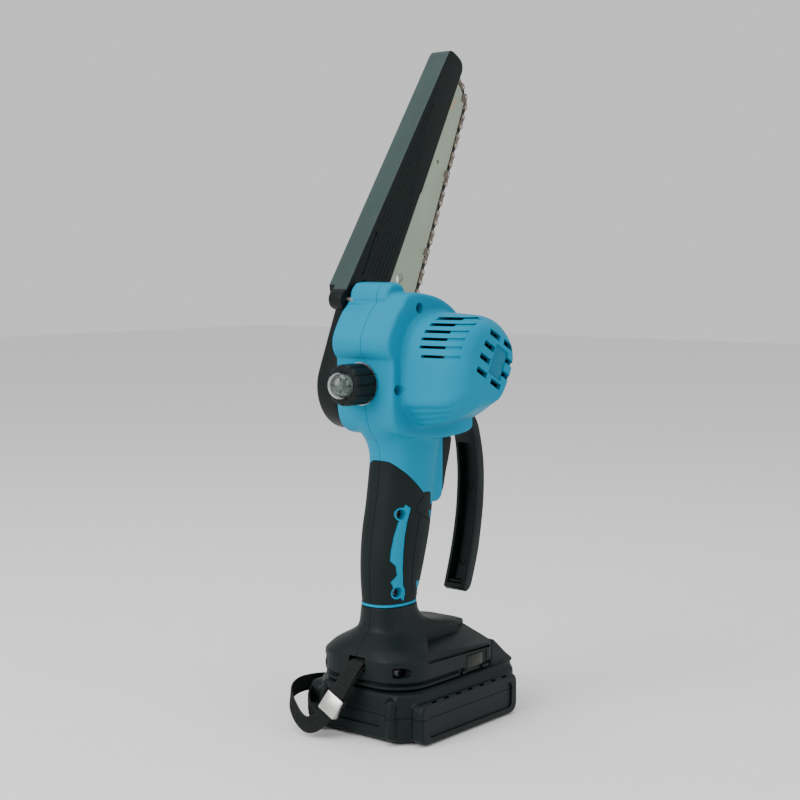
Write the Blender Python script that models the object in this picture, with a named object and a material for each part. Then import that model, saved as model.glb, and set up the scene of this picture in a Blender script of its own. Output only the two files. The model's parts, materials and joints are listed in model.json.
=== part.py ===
"""Cordless one-handed chainsaw that stands upright on its slide-on battery.

Metres, +Z up. The origin is the middle of the battery's base. +X is the trigger and
cutting side, -Y the motor side, +Y the bar and sprocket-cover side. The two housing
halves meet in the plane y = 0.
"""
import math

import bmesh
import bpy
from mathutils import Matrix, Vector

# ---------------------------------------------------------------- driving dimensions
GAP = 0.0003                     # clearance between neighbouring pieces
WALL = 0.0024                    # moulded shell thickness

BATTERY_BACK = -0.0553
BATTERY_FRONT = 0.0553
BATTERY_HALF = 0.0384            # half width
BATTERY_SPLIT = 0.0155           # parting line of the two cases
BATTERY_DECK = 0.0300            # top of the case, without the rail
CELL_RADIUS = 0.0091
CELL_LENGTH = 0.0650
CELL_PITCH = 0.0186
CASE_WALL = 0.0018               # battery case

FOOT_BASE = 0.0330
FOOT_TOP = 0.0730                # where the foot's neck meets the grip
FOOT_FRONT = 0.0270
FOOT_SCREW = -0.0503             # x of the two screws in the foot's back corners
RUBBER = 0.0024                  # grip over-mould thickness

BAR_TILT = math.radians(27.5)    # lean of the guide bar from upright, towards +X
BAR_Y = 0.0300                   # middle plane of bar and chain
BAR_HALF_THICK = 0.0018
CHAIN_HALF_THICK = 0.0023
MOTOR = (-0.0100, 0.2110)        # x, z of the motor axis
SPROCKET = (-0.0219, 0.1976)     # x, z of the output axis
SPROCKET_RADIUS = 0.0118
BAR_WIDEST = (0.057, 0.0244)     # distance along the bar, half width
BAR_NOSE = (0.1936, 0.0132)
STUDS = (0.0255, 0.0372)         # distances of the bar's studs
DRIVE_LINKS = 37

PINION_TEETH = 10
GEAR_TEETH = 30
MODULE = 0.00088
PINION_TURN = 0.4                # share of a tooth that puts the pinion in mesh

HEAD_LEFT = 0.0218               # +Y face of the head
HEAD_RIGHT = -0.0200             # -Y face of the head
MOTOR_END = -0.0600              # -Y end of the motor housing

HINGE = (-0.0372, 0.2478)        # x, z of the chain cover's hinge axis
OILER = (0.0025, 0.2010)         # y, z of the oiler's axis
LOCK = (-0.0080, 0.0, 0.1500)    # middle of the lock-off button's axis
COVER_LOW = 0.0222               # chain cover, near side and far side
COVER_HIGH = 0.0378
KNUCKLE_END = 0.0325             # far end of the hinge knuckle
HEAD_SCREWS = [(-0.0245, 0.2433), (-0.0437, 0.1982)]
GRIP_SCREWS = [(-0.0322, 0.1262), (-0.0352, 0.0817)]
SCREW_RADIUS = 0.0013
SCREW_END = 0.0081               # all housing screws end at this y

BLUE = (0.024, 0.45, 0.67)
BLACK = (0.016, 0.020, 0.021)
RUBBER_BLACK = (0.020, 0.024, 0.025)
STEEL = (0.36, 0.36, 0.35)
BAR_STEEL = (0.30, 0.36, 0.29)

for leftover in list(bpy.data.objects):
    bpy.data.objects.remove(leftover, do_unlink=True)


# ---------------------------------------------------------------- helpers
def material(name, colour, roughness=0.5, metallic=0.0, alpha=1.0):
    """One Principled material for one sub-part."""
    made = bpy.data.materials.new(name)
    made.use_nodes = True
    shader = made.node_tree.nodes["Principled BSDF"]
    shader.inputs["Base Color"].default_value = (*colour, 1.0)
    shader.inputs["Roughness"].default_value = roughness
    shader.inputs["Metallic"].default_value = metallic
    shader.inputs["Alpha"].default_value = alpha
    return made


def new_object(name, vertices, faces):
    """A mesh object from plain vertices and faces."""
    mesh = bpy.data.meshes.new(name)
    mesh.from_pydata(vertices, [], faces)
    mesh.validate()
    made = bpy.data.objects.new(name, mesh)
    bpy.context.scene.collection.objects.link(made)
    recalculate(made)
    return made


def recalculate(target):
    """Turn all faces outward."""
    work = bmesh.new()
    work.from_mesh(target.data)
    bmesh.ops.recalc_face_normals(work, faces=work.faces)
    work.to_mesh(target.data)
    work.free()


def loft(name, rings):
    """Closed solid through rings that have the same number of points."""
    count = len(rings[0])
    vertices = [point for ring in rings for point in ring]
    faces = [list(range(count)), [len(vertices) - 1 - i for i in range(count)]]
    for level in range(len(rings) - 1):
        low = level * count
        high = low + count
        for i in range(count):
            j = (i + 1) % count
            faces.append([low + i, low + j, high + j, high + i])
    return new_object(name, vertices, faces)


def prism(name, outline, low, high):
    """Outline of (x, z) points, extruded along Y."""
    return loft(name, [[(x, y, z) for x, z in outline] for y in (low, high)])


def plate(name, outline, low, high):
    """Outline of (x, y) points, extruded along Z."""
    return loft(name, [[(x, y, z) for x, y in outline] for z in (low, high)])


def box(name, low, high):
    """Box between two corners."""
    outline = [(low[0], low[1]), (high[0], low[1]), (high[0], high[1]), (low[0], high[1])]
    return plate(name, outline, low[2], high[2])


def circle(centre, radius, count=16, start=0.0):
    """Points of a circle in a plane."""
    turn = 2 * math.pi / count
    return [(centre[0] + radius * math.cos(start + i * turn),
             centre[1] + radius * math.sin(start + i * turn)) for i in range(count)]


def turned(name, centre, axis, profile, count=16):
    """Solid of revolution; profile is (distance along the axis, radius)."""
    rings = []
    for along, radius in profile:
        ring = []
        for a, b in circle((0.0, 0.0), radius, count):
            if axis == "X":
                ring.append((centre[0] + along, centre[1] + a, centre[2] + b))
            elif axis == "Y":
                ring.append((centre[0] + a, centre[1] + along, centre[2] + b))
            else:
                ring.append((centre[0] + a, centre[1] + b, centre[2] + along))
        rings.append(ring)
    return loft(name, rings)


def evaluate(target):
    """Apply the object's modifiers to its mesh."""
    graph = bpy.context.evaluated_depsgraph_get()
    mesh = bpy.data.meshes.new_from_object(target.evaluated_get(graph))
    old = target.data
    target.modifiers.clear()
    target.data = mesh
    bpy.data.meshes.remove(old)


def combine(target, tools, operation):
    """Exact Boolean of the target with each tool; the tools are used up."""
    for tool in tools:
        modifier = target.modifiers.new("Combine", "BOOLEAN")
        modifier.operation = operation
        modifier.object = tool
        modifier.solver = "EXACT"
        evaluate(target)
        bpy.data.objects.remove(tool, do_unlink=True)
    return target


def cut(target, *tools):
    return combine(target, tools, "DIFFERENCE")


def join(target, *tools):
    return combine(target, tools, "UNION")


def keep(target, tool):
    return combine(target, [tool], "INTERSECT")


def copy_of(source, name):
    """An independent copy of an object."""
    made = bpy.data.objects.new(name, source.data.copy())
    bpy.context.scene.collection.objects.link(made)
    return made


def bevel(target, width, segments=2, angle=60.0):
    """Round the edges that are sharper than the angle."""
    modifier = target.modifiers.new("Bevel", "BEVEL")
    modifier.width = width
    modifier.segments = segments
    modifier.limit_method = "ANGLE"
    modifier.angle_limit = math.radians(angle)
    evaluate(target)
    return target


def half(source, name, side):
    """The half of a solid on one side of the seam plane, y = 0."""
    reach = 0.2
    edge = GAP / 2 * side
    low = (-reach, min(edge, reach * side), -reach)
    high = (reach, max(edge, reach * side), 3 * reach)
    return keep(copy_of(source, name), box("side", low, high))


def finish(target, surface, smooth=35.0):
    """Name the mesh, give the material, and shade the round parts smooth."""
    work = bmesh.new()
    work.from_mesh(target.data)
    bmesh.ops.remove_doubles(work, verts=work.verts, dist=1e-6)
    bmesh.ops.dissolve_degenerate(work, edges=work.edges, dist=1e-6)
    bmesh.ops.recalc_face_normals(work, faces=work.faces)
    work.to_mesh(target.data)
    work.free()
    target.data.name = target.name
    target.data.materials.clear()
    target.data.materials.append(surface)
    target.data.shade_smooth()
    target.data.set_sharp_from_angle(angle=math.radians(smooth))
    return target


def move_origin(target, point):
    """Put the object's origin on a point without moving the object."""
    target.data.transform(Matrix.Translation(-Vector(point)))
    target.location = point
    return target


def wrap(circles, count=40):
    """Outline of a belt round circles given as (x, z, radius)."""
    points = []
    for x, z, radius in circles:
        points += circle((x, z), radius, count)
    points = sorted(set((round(x, 7), round(z, 7)) for x, z in points))

    def chain_of(ordered):
        hull = []
        for point in ordered:
            while len(hull) > 1 and turn_of(hull[-2], hull[-1], point) <= 0:
                hull.pop()
            hull.append(point)
        return hull[:-1]

    return chain_of(points) + chain_of(points[::-1])


def turn_of(a, b, c):
    return (b[0] - a[0]) * (c[1] - a[1]) - (b[1] - a[1]) * (c[0] - a[0])


def inset(outline, distance):
    """Move a closed counter-clockwise outline inward."""
    made = []
    for i, point in enumerate(outline):
        before = Vector(outline[i - 1])
        here = Vector(point)
        after = Vector(outline[(i + 1) % len(outline)])
        first = (here - before).normalized()
        second = (after - here).normalized()
        normal = (Vector((-first.y, first.x)) + Vector((-second.y, second.x))).normalized()
        stretch = max(0.5, normal.dot(Vector((-first.y, first.x))))
        made.append(tuple(here + normal * (distance / stretch)))
    return made


def on_bar(along, across):
    """x, z of a point given along the bar from the output axis, and across to +X."""
    return (SPROCKET[0] + along * math.sin(BAR_TILT) + across * math.cos(BAR_TILT),
            SPROCKET[1] + along * math.cos(BAR_TILT) - across * math.sin(BAR_TILT))


def belt(offset):
    """Circles of the chain's path, moved outward by an offset."""
    return [(*SPROCKET, SPROCKET_RADIUS + 0.0008 + offset),
            (*on_bar(BAR_WIDEST[0], 0.0), BAR_WIDEST[1] + offset),
            (*on_bar(BAR_NOSE[0], 0.0), BAR_NOSE[1] + offset)]


def superellipse(centre, radius_x, radius_y, power, z, count=24):
    """A ring between an ellipse and a rounded rectangle."""
    ring = []
    for i in range(count):
        turn = 2 * math.pi * (i + 0.5) / count
        c = math.cos(turn)
        s = math.sin(turn)
        ring.append((centre + radius_x * math.copysign(abs(c) ** (2 / power), c),
                     radius_y * math.copysign(abs(s) ** (2 / power), s), z))
    return ring


def rounded(back, front, half_width, back_corner, front_corner, z, steps=4):
    """A rectangle ring with round corners, seen from above."""
    corners = [(front - front_corner, half_width - front_corner, front_corner, 0),
               (back + back_corner, half_width - back_corner, back_corner, 1),
               (back + back_corner, -half_width + back_corner, back_corner, 2),
               (front - front_corner, -half_width + front_corner, front_corner, 3)]
    ring = []
    for x, y, radius, quarter in corners:
        for step in range(steps + 1):
            turn = math.pi / 2 * (quarter + step / steps)
            ring.append((x + radius * math.cos(turn), y + radius * math.sin(turn), z))
    return ring


# ---------------------------------------------------------------- handle and head shells
# height, middle in X, half depth in X, half width in Y, squareness
HANDLE = [
    (0.0733, -0.0274, 0.0170, 0.0133, 2.3),
    (0.0750, -0.0273, 0.0171, 0.0134, 2.3),
    (0.0870, -0.0259, 0.0190, 0.0148, 2.3),
    (0.1000, -0.0239, 0.0207, 0.0158, 2.3),
    (0.1150, -0.0211, 0.0215, 0.0162, 2.4),
    (0.1300, -0.0182, 0.0214, 0.0160, 2.4),
    (0.1450, -0.0158, 0.0212, 0.0161, 2.4),
    (0.1570, -0.0140, 0.0214, 0.0166, 2.4),
    (0.1660, -0.0140, 0.0236, 0.0174, 2.5),
    (0.1730, -0.0150, 0.0285, 0.0183, 2.6),
    (0.1800, -0.0150, 0.0322, 0.0190, 2.8),
]

# side outline of the head, counter-clockwise from the back of its underside
HEAD = [
    (-0.0470, 0.1815), (-0.0440, 0.1760), (-0.0360, 0.1715), (-0.0100, 0.1680),
    (0.0100, 0.1680), (0.0262, 0.1705), (0.0272, 0.1780), (0.0272, 0.1960),
    (0.0258, 0.2140), (0.0205, 0.2290), (0.0105, 0.2410), (-0.0040, 0.2485),
    (-0.0190, 0.2515), (-0.0300, 0.2520), (-0.0360, 0.2500), (-0.0392, 0.2455),
    (-0.0440, 0.2410), (-0.0490, 0.2335), (-0.0523, 0.2265), (-0.0522, 0.2200),
    (-0.0500, 0.2160), (-0.0484, 0.2125), (-0.0484, 0.1900),
]

# black rubber seen from the side: it ends in a slanted edge above and at the foot below
RUBBER_EDGE = [
    (-0.0600, 0.0748), (0.0100, 0.0748), (0.0100, 0.1275), (-0.0078, 0.1275),
    (-0.0078, 0.1362), (-0.0160, 0.1362), (-0.0235, 0.1440), (-0.0320, 0.1515),
    (-0.0400, 0.1570), (-0.0600, 0.1600),
]


def handle(name, shrink, tail=0.0):
    """The handle's tapered column, drawn in by a distance, with a tail below it."""
    rings = []
    levels = [(HANDLE[0][0] - tail, *HANDLE[0][1:])] if tail else []
    for z, middle, deep, wide, power in levels + HANDLE:
        rings.append(superellipse(middle, deep - shrink, wide - shrink, power, z))
    return loft(name, rings)


def motor_ring(y, side, rise):
    """Outline of the motor housing at one y: flat at the back, round above."""
    ring = []
    count = 28
    for i in range(count):
        turn = 2 * math.pi * (i + 0.5) / count
        c = math.cos(turn)
        s = math.sin(turn)
        power = 4.5 if c < 0 and s < 0 else 2.4
        wide = (0.0310 if c < 0 else 0.0300) - side
        tall = 0.0305 - side if s > 0 else 0.0345 - rise
        ring.append((MOTOR[0] + wide * math.copysign(abs(c) ** (2 / power), c), y,
                     MOTOR[1] + tall * math.copysign(abs(s) ** (2 / power), s)))
    return ring


def motor_housing(name, shrink):
    """The cup over the motor, with its lower end swept up."""
    levels = [(0.014, 0.0, 0.0), (0.034, 0.0012, 0.0008), (0.046, 0.0022, 0.0030),
              (0.053, 0.0034, 0.0075), (0.0585, 0.0050, 0.0135)]
    rings = [motor_ring(-y, side + shrink, rise + shrink) for y, side, rise in levels]
    rings.append(motor_ring(MOTOR_END + shrink, 0.0078 + shrink, 0.0165 + shrink))
    if shrink:
        rings.pop(-2)
    return loft(name, rings)


def build_housing():
    """Blue clamshell: head, motor cup, trigger zone and the core under the rubber."""
    shell = bevel(prism("head", HEAD, HEAD_RIGHT, HEAD_LEFT), 0.0045, 2)
    crest = [(-0.0205, 0.2420), (-0.0205, 0.2520), (-0.0235, 0.2562), (-0.0280, 0.2578),
             (-0.0335, 0.2572), (-0.0372, 0.2535), (-0.0385, 0.2485), (-0.0370, 0.2420)]
    join(shell, bevel(prism("crest", crest, -0.0075, HEAD_LEFT - 0.0011), 0.0022, 2))
    join(shell, motor_housing("motor cup", 0.0))
    column = handle("column", 0.0)
    rubber_zone = prism("rubber zone", inset(RUBBER_EDGE, -GAP), -0.03, 0.03)
    cut(column, rubber_zone)
    join(shell, column)
    join(shell, handle("core", RUBBER + GAP, 0.0120))
    guard = [(-0.0160, 0.1370), (-0.0020, 0.1288), (0.0062, 0.1290), (0.0100, 0.1315),
             (0.0106, 0.1400), (0.0106, 0.1700), (-0.0160, 0.1720)]
    join(shell, bevel(prism("trigger zone", guard, -0.0112, 0.0112), 0.0020, 2))

    cavity = prism("cavity", inset(HEAD, WALL), HEAD_RIGHT + WALL, HEAD_LEFT - WALL)
    cut(shell, cavity)
    cut(shell, motor_housing("motor room", WALL))
    cut(shell, handle("bore", RUBBER + GAP + 0.0022, 0.0140))
    room = [(-0.0150, 0.1385), (-0.0060, 0.1328), (0.0040, 0.1315), (0.0080, 0.1330),
            (0.0084, 0.1735), (-0.0150, 0.1735)]
    cut(shell, prism("trigger room", room, -0.0090, 0.0090))
    cut(shell, box("trigger slot", (0.0, -0.0060, 0.1328), (0.0200, 0.0060, 0.1668)))
    for x, z in HEAD_SCREWS:
        join(shell, turned("boss", (x, 0.0, z), "Y", [(-0.0185, 0.0043), (-0.0003, 0.0043),
                                                     (0.0, 0.0030), (0.0205, 0.0030)], 12))
    for x, z in GRIP_SCREWS:
        boss = turned("boss", (x, 0.0, z), "Y", [(-0.0102, 0.0043), (0.0102, 0.0043)], 12)
        join(shell, keep(boss, handle("inside the core", RUBBER + 0.0007, 0.0120)))
    for x, z in HEAD_SCREWS + GRIP_SCREWS:
        bore = [(-0.0300, SCREW_RADIUS + GAP), (SCREW_END + 0.0005, SCREW_RADIUS + GAP)]
        cut(shell, turned("pilot", (x, 0.0, z), "Y", bore, 10))
    cut(shell, turned("shaft hole", (SPROCKET[0], HEAD_LEFT, SPROCKET[1]), "Y",
                      [(-0.006, 0.0100), (0.004, 0.0100)]))
    for along in STUDS:
        x, z = on_bar(along, 0.0)
        cut(shell, turned("stud hole", (x, HEAD_LEFT, z), "Y", [(-0.005, 0.0029), (0.003, 0.0029)]))
    cut(shell, turned("oil hole", (-0.048, *OILER), "X", [(-0.009, 0.0062), (0.0033, 0.0062)]))
    cut(shell, turned("hinge hole", (HINGE[0], HEAD_LEFT, HINGE[1]), "Y",
                      [(-0.0045, 0.0019), (0.003, 0.0019)], 12))
    cut(shell, turned("lock hole", LOCK, "Y", [(0.0070, 0.0047), (0.0220, 0.0047)]))
    cut(shell, turned("lock room", LOCK, "Y", [(0.0060, 0.0064), (0.0122, 0.0064)]))
    return shell


def motor_vents():
    """Cutters of the air slots in the motor housing's side and end."""
    cutters = []
    for step in range(6):
        z = 0.2170 + step * 0.0040
        reach = -0.0300 + 0.0026 * max(0, step - 2) ** 1.2
        cutters.append(box("side vent", (-0.0600, -0.0470, z), (reach, -0.0300, z + 0.0017)))
    for row in range(4):
        for column in (-1, 0, 1):
            if column == 0 and row in (1, 2):
                continue
            along = (row - 1.5) * 0.0092
            across = column * 0.0108
            x = MOTOR[0] + 0.001 + along * math.sin(BAR_TILT) + across * math.cos(BAR_TILT)
            z = MOTOR[1] + 0.001 + along * math.cos(BAR_TILT) - across * math.sin(BAR_TILT)
            slot = box("end vent", (-0.0034, -0.0700, -0.0012), (0.0034, -0.0560, 0.0012))
            slot.data.transform(Matrix.Translation((x, 0.0, z)) @ Matrix.Rotation(BAR_TILT, 4, "Y"))
            cutters.append(slot)
    return cutters


def add_housing():
    blue = material("blue_plastic", BLUE, 0.42)
    shell = build_housing()
    left = half(shell, "housing_left", 1)
    right = half(shell, "housing_right", -1)
    cut(right, *motor_vents())
    for x, z in HEAD_SCREWS:
        pocket = turned("pocket", (x, HEAD_RIGHT, z), "Y", [(-0.004, 0.0030), (0.0060, 0.0030)], 12)
        cut(right, pocket)
    for x, z in GRIP_SCREWS:
        cut(right, turned("pocket", (x, -0.0150, z), "Y", [(-0.004, 0.0030), (0.0062, 0.0030)], 12))
    finish(left, blue)
    finish(right, blue)
    bpy.data.objects.remove(shell, do_unlink=True)


def add_screws():
    """Pan-head screws that hold the halves together, entered from the motor side."""
    steel = material("screw_steel", (0.09, 0.09, 0.09), 0.35, 0.9)
    spots = [(x, HEAD_RIGHT + 0.0038, z) for x, z in HEAD_SCREWS]
    spots += [(x, -0.0109, z) for x, z in GRIP_SCREWS]
    for number, spot in enumerate(spots):
        length = SCREW_END - spot[1]
        screw = turned("housing_screw_%d" % (number + 1), spot, "Y",
                       [(0.0, 0.0021), (0.0004, 0.0026), (0.0018, 0.0026),
                        (0.0018, SCREW_RADIUS), (length, SCREW_RADIUS)], 12)
        cut(screw, box("drive", (spot[0] - 0.0004, spot[1] - 0.001, spot[2] - 0.0014),
                       (spot[0] + 0.0004, spot[1] + 0.0009, spot[2] + 0.0014)))
        finish(screw, steel)


# ---------------------------------------------------------------- grip and foot
def add_grip():
    """Two rubber halves moulded over the handle's core."""
    rubber = material("grip_rubber", RUBBER_BLACK, 0.75)
    sleeve = keep(handle("sleeve", 0.0), prism("zone", RUBBER_EDGE, -0.03, 0.03))
    cut(sleeve, handle("core room", RUBBER))
    left = half(sleeve, "grip_left", 1)
    right = half(sleeve, "grip_right", -1)
    for x, z in GRIP_SCREWS:
        cut(right, turned("window", (x, -0.0170, z), "Y", [(-0.006, 0.0034), (0.0080, 0.0034)], 12))
    finish(left, rubber)
    finish(right, rubber)
    bpy.data.objects.remove(sleeve, do_unlink=True)


def add_foot():
    """Black foot in two halves: a domed cap whose base takes the battery rail."""
    black = material("foot_plastic", BLACK, 0.5)
    foot = loft("foot", [
        rounded(-0.0530, FOOT_FRONT - 0.0010, 0.0325, 0.0200, 0.0040, FOOT_BASE),
        rounded(-0.0570, FOOT_FRONT, 0.0352, 0.0220, 0.0040, 0.0362),
        rounded(-0.0572, FOOT_FRONT, 0.0352, 0.0220, 0.0040, 0.0450),
        rounded(-0.0545, FOOT_FRONT - 0.0004, 0.0300, 0.0210, 0.0080, 0.0510),
        rounded(-0.0500, 0.0235, 0.0225, 0.0180, 0.0120, 0.0558),
        rounded(-0.0462, 0.0075, 0.0170, 0.0150, 0.0130, 0.0590),
        rounded(-0.0450, -0.0040, 0.0148, 0.0130, 0.0120, 0.0625),
        rounded(-0.0446, -0.0095, 0.0136, 0.0120, 0.0115, 0.0680),
        rounded(-0.0443, -0.0106, 0.0133, 0.0120, 0.0115, FOOT_TOP),
    ])
    # open channel for the battery's T rail, and the room above it
    cut(foot, box("rail head room", (-0.0480, -0.0270, 0.0357), (0.0400, 0.0270, 0.0418)))
    cut(foot, box("rail neck room", (-0.0480, -0.0222, 0.0300), (0.0400, 0.0222, 0.0361)))
    cut(foot, rounded_block("board room", -0.0430, 0.0130, 0.0190, 0.0413, 0.0510))
    cut(foot, superellipse_column("neck bore", 0.0480, 0.0760))
    cut(foot, box("strap slot", (-0.0600, -0.0068, 0.0390), (-0.0505, 0.0050, 0.0478)))
    cut(foot, box("window seat", (0.0012, -0.0400, 0.0300), (0.0172, -0.0334, 0.0412)))
    for side in (-1, 1):
        hole = turned("screw hole", (FOOT_SCREW, side * 0.0290, 0.0405), "Y",
                      [(-0.0048 if side > 0 else -0.012, 0.0031),
                       (0.012 if side > 0 else 0.0048, 0.0031)], 12)
        cut(foot, hole)
    finish(half(foot, "foot_left", 1), black)
    finish(half(foot, "foot_right", -1), black)
    bpy.data.objects.remove(foot, do_unlink=True)
    window = material("window_plastic", (0.22, 0.24, 0.22), 0.25)
    pane = box("indicator_window", (0.0015, -0.0350, 0.0334), (0.0169, -0.0337, 0.0409))
    finish(pane, window)


def rounded_block(name, back, front, half_width, low, high):
    """A block with round vertical corners."""
    return loft(name, [rounded(back, front, half_width, 0.006, 0.006, z, 3) for z in (low, high)])


def superellipse_column(name, low, high):
    """The hollow of the foot's neck."""
    return loft(name, [superellipse(-0.0274, 0.0147, 0.0110, 2.3, z, 24) for z in (low, high)])


def add_foot_screws():
    steel = material("foot_screw_steel", (0.09, 0.09, 0.09), 0.35, 0.9)
    for number, side in enumerate((-1, 1)):
        inner = side * 0.0245
        outer = side * 0.0263
        profile = [(0.0, 0.0024), (outer - inner, 0.0024)]
        screw = turned("foot_screw_%d" % (number + 1), (FOOT_SCREW, inner, 0.0405), "Y", profile, 12)
        low, high = sorted((outer - side * 0.0008, outer + side * 0.001))
        cut(screw, box("drive", (FOOT_SCREW - 0.0004, low, 0.0391), (FOOT_SCREW + 0.0004, high, 0.0419)))
        finish(screw, steel)


# ---------------------------------------------------------------- motor and gears
def gear_outline(centre, teeth, shift=0.0):
    """Toothed outline with four points to each tooth."""
    outline = []
    root = MODULE * (teeth - 2.3) / 2
    tip = MODULE * (teeth + 1.7) / 2
    for tooth in range(teeth):
        for part, radius in ((0.0, root), (0.50, root), (0.64, tip), (0.86, tip)):
            turn = 2 * math.pi * (tooth + part + shift) / teeth
            outline.append((centre[0] + radius * math.cos(turn),
                            centre[1] + radius * math.sin(turn)))
    return outline


def add_motor():
    can_steel = material("motor_can_steel", (0.30, 0.30, 0.30), 0.4, 0.9)
    axis = (MOTOR[0], 0.0, MOTOR[1])
    can = turned("motor_can", axis, "Y", [(-0.0540, 0.0180), (-0.0010, 0.0180), (0.0, 0.0170)], 28)
    cut(can, turned("can room", axis, "Y", [(-0.0560, 0.0165), (-0.0015, 0.0165)], 28))
    cut(can, turned("can mouth", axis, "Y", [(-0.0030, 0.0040), (0.0020, 0.0040)], 16))
    finish(can, can_steel)
    cap = turned("motor_end_cap", axis, "Y", [(-0.0544, 0.0160), (-0.0520, 0.0160)], 28)
    cut(cap, turned("cap bore", axis, "Y", [(-0.06, 0.0021), (-0.05, 0.0021)], 12))
    finish(cap, material("end_cap_plastic", (0.05, 0.05, 0.05), 0.5))

    rotor = turned("rotor", axis, "Y",
                   [(-0.0560, 0.0016), (-0.0450, 0.0016), (-0.0450, 0.0125), (-0.0090, 0.0125),
                    (-0.0090, 0.0016), (0.0150, 0.0016)], 20)
    finish(move_origin(rotor, axis), material("rotor_steel", (0.25, 0.22, 0.20), 0.5, 0.8))
    pinion = prism("pinion", gear_outline(MOTOR, PINION_TEETH, PINION_TURN), 0.0060, 0.0140)
    cut(pinion, turned("pinion bore", axis, "Y", [(0.004, 0.0019), (0.016, 0.0019)], 12))
    finish(move_origin(pinion, axis), material("pinion_brass", (0.60, 0.45, 0.20), 0.35, 1.0), 20)


def add_gearbox():
    plate_metal = material("gearbox_alloy", (0.45, 0.46, 0.46), 0.45, 0.9)
    hub = (SPROCKET[0], 0.0, SPROCKET[1])
    outline = wrap([(*MOTOR, 0.0185), (*SPROCKET, 0.0145)], 24)
    carrier = prism("gearbox_plate", outline, 0.0008, 0.0040)
    cut(carrier, turned("motor mouth", (MOTOR[0], 0.0, MOTOR[1]), "Y",
                        [(-0.002, 0.0060), (0.006, 0.0060)], 16))
    cut(carrier, turned("bearing seat", hub, "Y", [(-0.002, 0.0062), (0.006, 0.0062)], 16))
    finish(carrier, plate_metal)

    gear_hub = (SPROCKET[0], 0.0, SPROCKET[1])
    gear = prism("reduction_gear", gear_outline(SPROCKET, GEAR_TEETH), 0.0063, 0.0137)
    cut(gear, turned("gear bore", gear_hub, "Y", [(0.004, 0.0043), (0.016, 0.0043)], 16))
    finish(move_origin(gear, gear_hub), material("gear_steel", STEEL, 0.4, 1.0), 20)
    shaft = turned("output_shaft", gear_hub, "Y",
                   [(0.0012, 0.0030), (0.0042, 0.0030), (0.0042, 0.0040), (0.0350, 0.0040),
                    (0.0358, 0.0034)], 16)
    finish(move_origin(shaft, gear_hub), material("shaft_steel", STEEL, 0.3, 1.0))
    for name, low, high, inner, outer in (("inner_bearing", 0.0010, 0.0038, 0.0033, 0.0059),
                                          ("output_bearing", 0.0198, 0.0232, 0.0043, 0.0097)):
        ring = turned(name, gear_hub, "Y", [(low, outer), (high, outer)], 20)
        cut(ring, turned("bore", gear_hub, "Y", [(low - 0.002, inner), (high + 0.002, inner)], 16))
        finish(ring, material(name + "_steel", STEEL, 0.25, 1.0))
    teeth = 7
    wheel = []
    for tooth in range(teeth):
        for part, radius in ((0.0, 0.0092), (0.28, 0.0092), (0.40, SPROCKET_RADIUS),
                             (0.88, SPROCKET_RADIUS)):
            turn = 2 * math.pi * (tooth + part) / teeth
            wheel.append((SPROCKET[0] + radius * math.cos(turn),
                          SPROCKET[1] + radius * math.sin(turn)))
    sprocket = prism("drive_sprocket", wheel, BAR_Y - 0.0030, BAR_Y + 0.0030)
    cut(sprocket, turned("bore", gear_hub, "Y", [(0.02, 0.0043), (0.04, 0.0043)], 16))
    finish(move_origin(sprocket, gear_hub), material("sprocket_steel", STEEL, 0.35, 1.0), 20)


# ---------------------------------------------------------------- bar, chain and their cover
def add_bar():
    """Laminated guide bar: a bow from a round tail to a round nose."""
    tail = (*on_bar(0.0340, 0.0), 0.0170)
    outline = wrap([tail, (*on_bar(BAR_WIDEST[0], 0.0), BAR_WIDEST[1] - GAP),
                    (*on_bar(BAR_NOSE[0], 0.0), BAR_NOSE[1] - GAP)], 40)
    bar = prism("guide_bar", outline, BAR_Y - BAR_HALF_THICK, BAR_Y + BAR_HALF_THICK)
    slot = wrap([(*on_bar(0.0225, 0.0), 0.0031), (*on_bar(0.0440, 0.0), 0.0031)], 12)
    cut(bar, prism("stud slot", slot, BAR_Y - 0.005, BAR_Y + 0.005))
    for along, across, radius in ((0.0722, 0.0062, 0.0030), (0.1534, 0.0065, 0.0012),
                                  (0.0300, -0.0115, 0.0030)):
        x, z = on_bar(along, across)
        cut(bar, turned("hole", (x, BAR_Y, z), "Y", [(-0.005, radius), (0.005, radius)], 12))
    finish(bar, material("bar_steel", BAR_STEEL, 0.35, 0.9))


def closed_path(circles, count):
    """Evenly spaced points along a belt, each with its outward direction."""
    outline = wrap(circles, 72)
    closed = [Vector(point) for point in outline] + [Vector(outline[0])]
    lengths = [(b - a).length for a, b in zip(closed, closed[1:])]
    step = sum(lengths) / count
    points = []
    reached = 0.0
    index = 0
    for number in range(count):
        target = number * step
        while reached + lengths[index] < target:
            reached += lengths[index]
            index += 1
        along = (closed[index + 1] - closed[index]).normalized()
        points.append((closed[index] + along * (target - reached), Vector((along.y, -along.x))))
    return points


def add_chain():
    """The whole chain as one closed loop, with a cutter on every second link."""
    per_link = 4
    heights = (0.0032, 0.0042, 0.0042, 0.0024)
    low_side = BAR_Y - CHAIN_HALF_THICK
    high_side = BAR_Y + CHAIN_HALF_THICK
    vertices = []
    faces = []
    path = closed_path(belt(0.0), DRIVE_LINKS * per_link)
    for number, (point, outward) in enumerate(path):
        cutter = (number // per_link) % 2 == 0
        height = heights[number % per_link] if cutter else 0.0026
        outer = point + outward * height
        for place, y in ((point, low_side), (point, high_side), (outer, high_side),
                         (outer, low_side)):
            vertices.append((place.x, y, place.y))
    count = len(path)
    for number in range(count):
        here = number * 4
        there = ((number + 1) % count) * 4
        for corner in range(4):
            after = (corner + 1) % 4
            faces.append([here + corner, here + after, there + after, there + corner])
    chain = new_object("saw_chain", vertices, faces)
    finish(chain, material("chain_steel", (0.16, 0.14, 0.12), 0.4, 0.9), 20)


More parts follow.
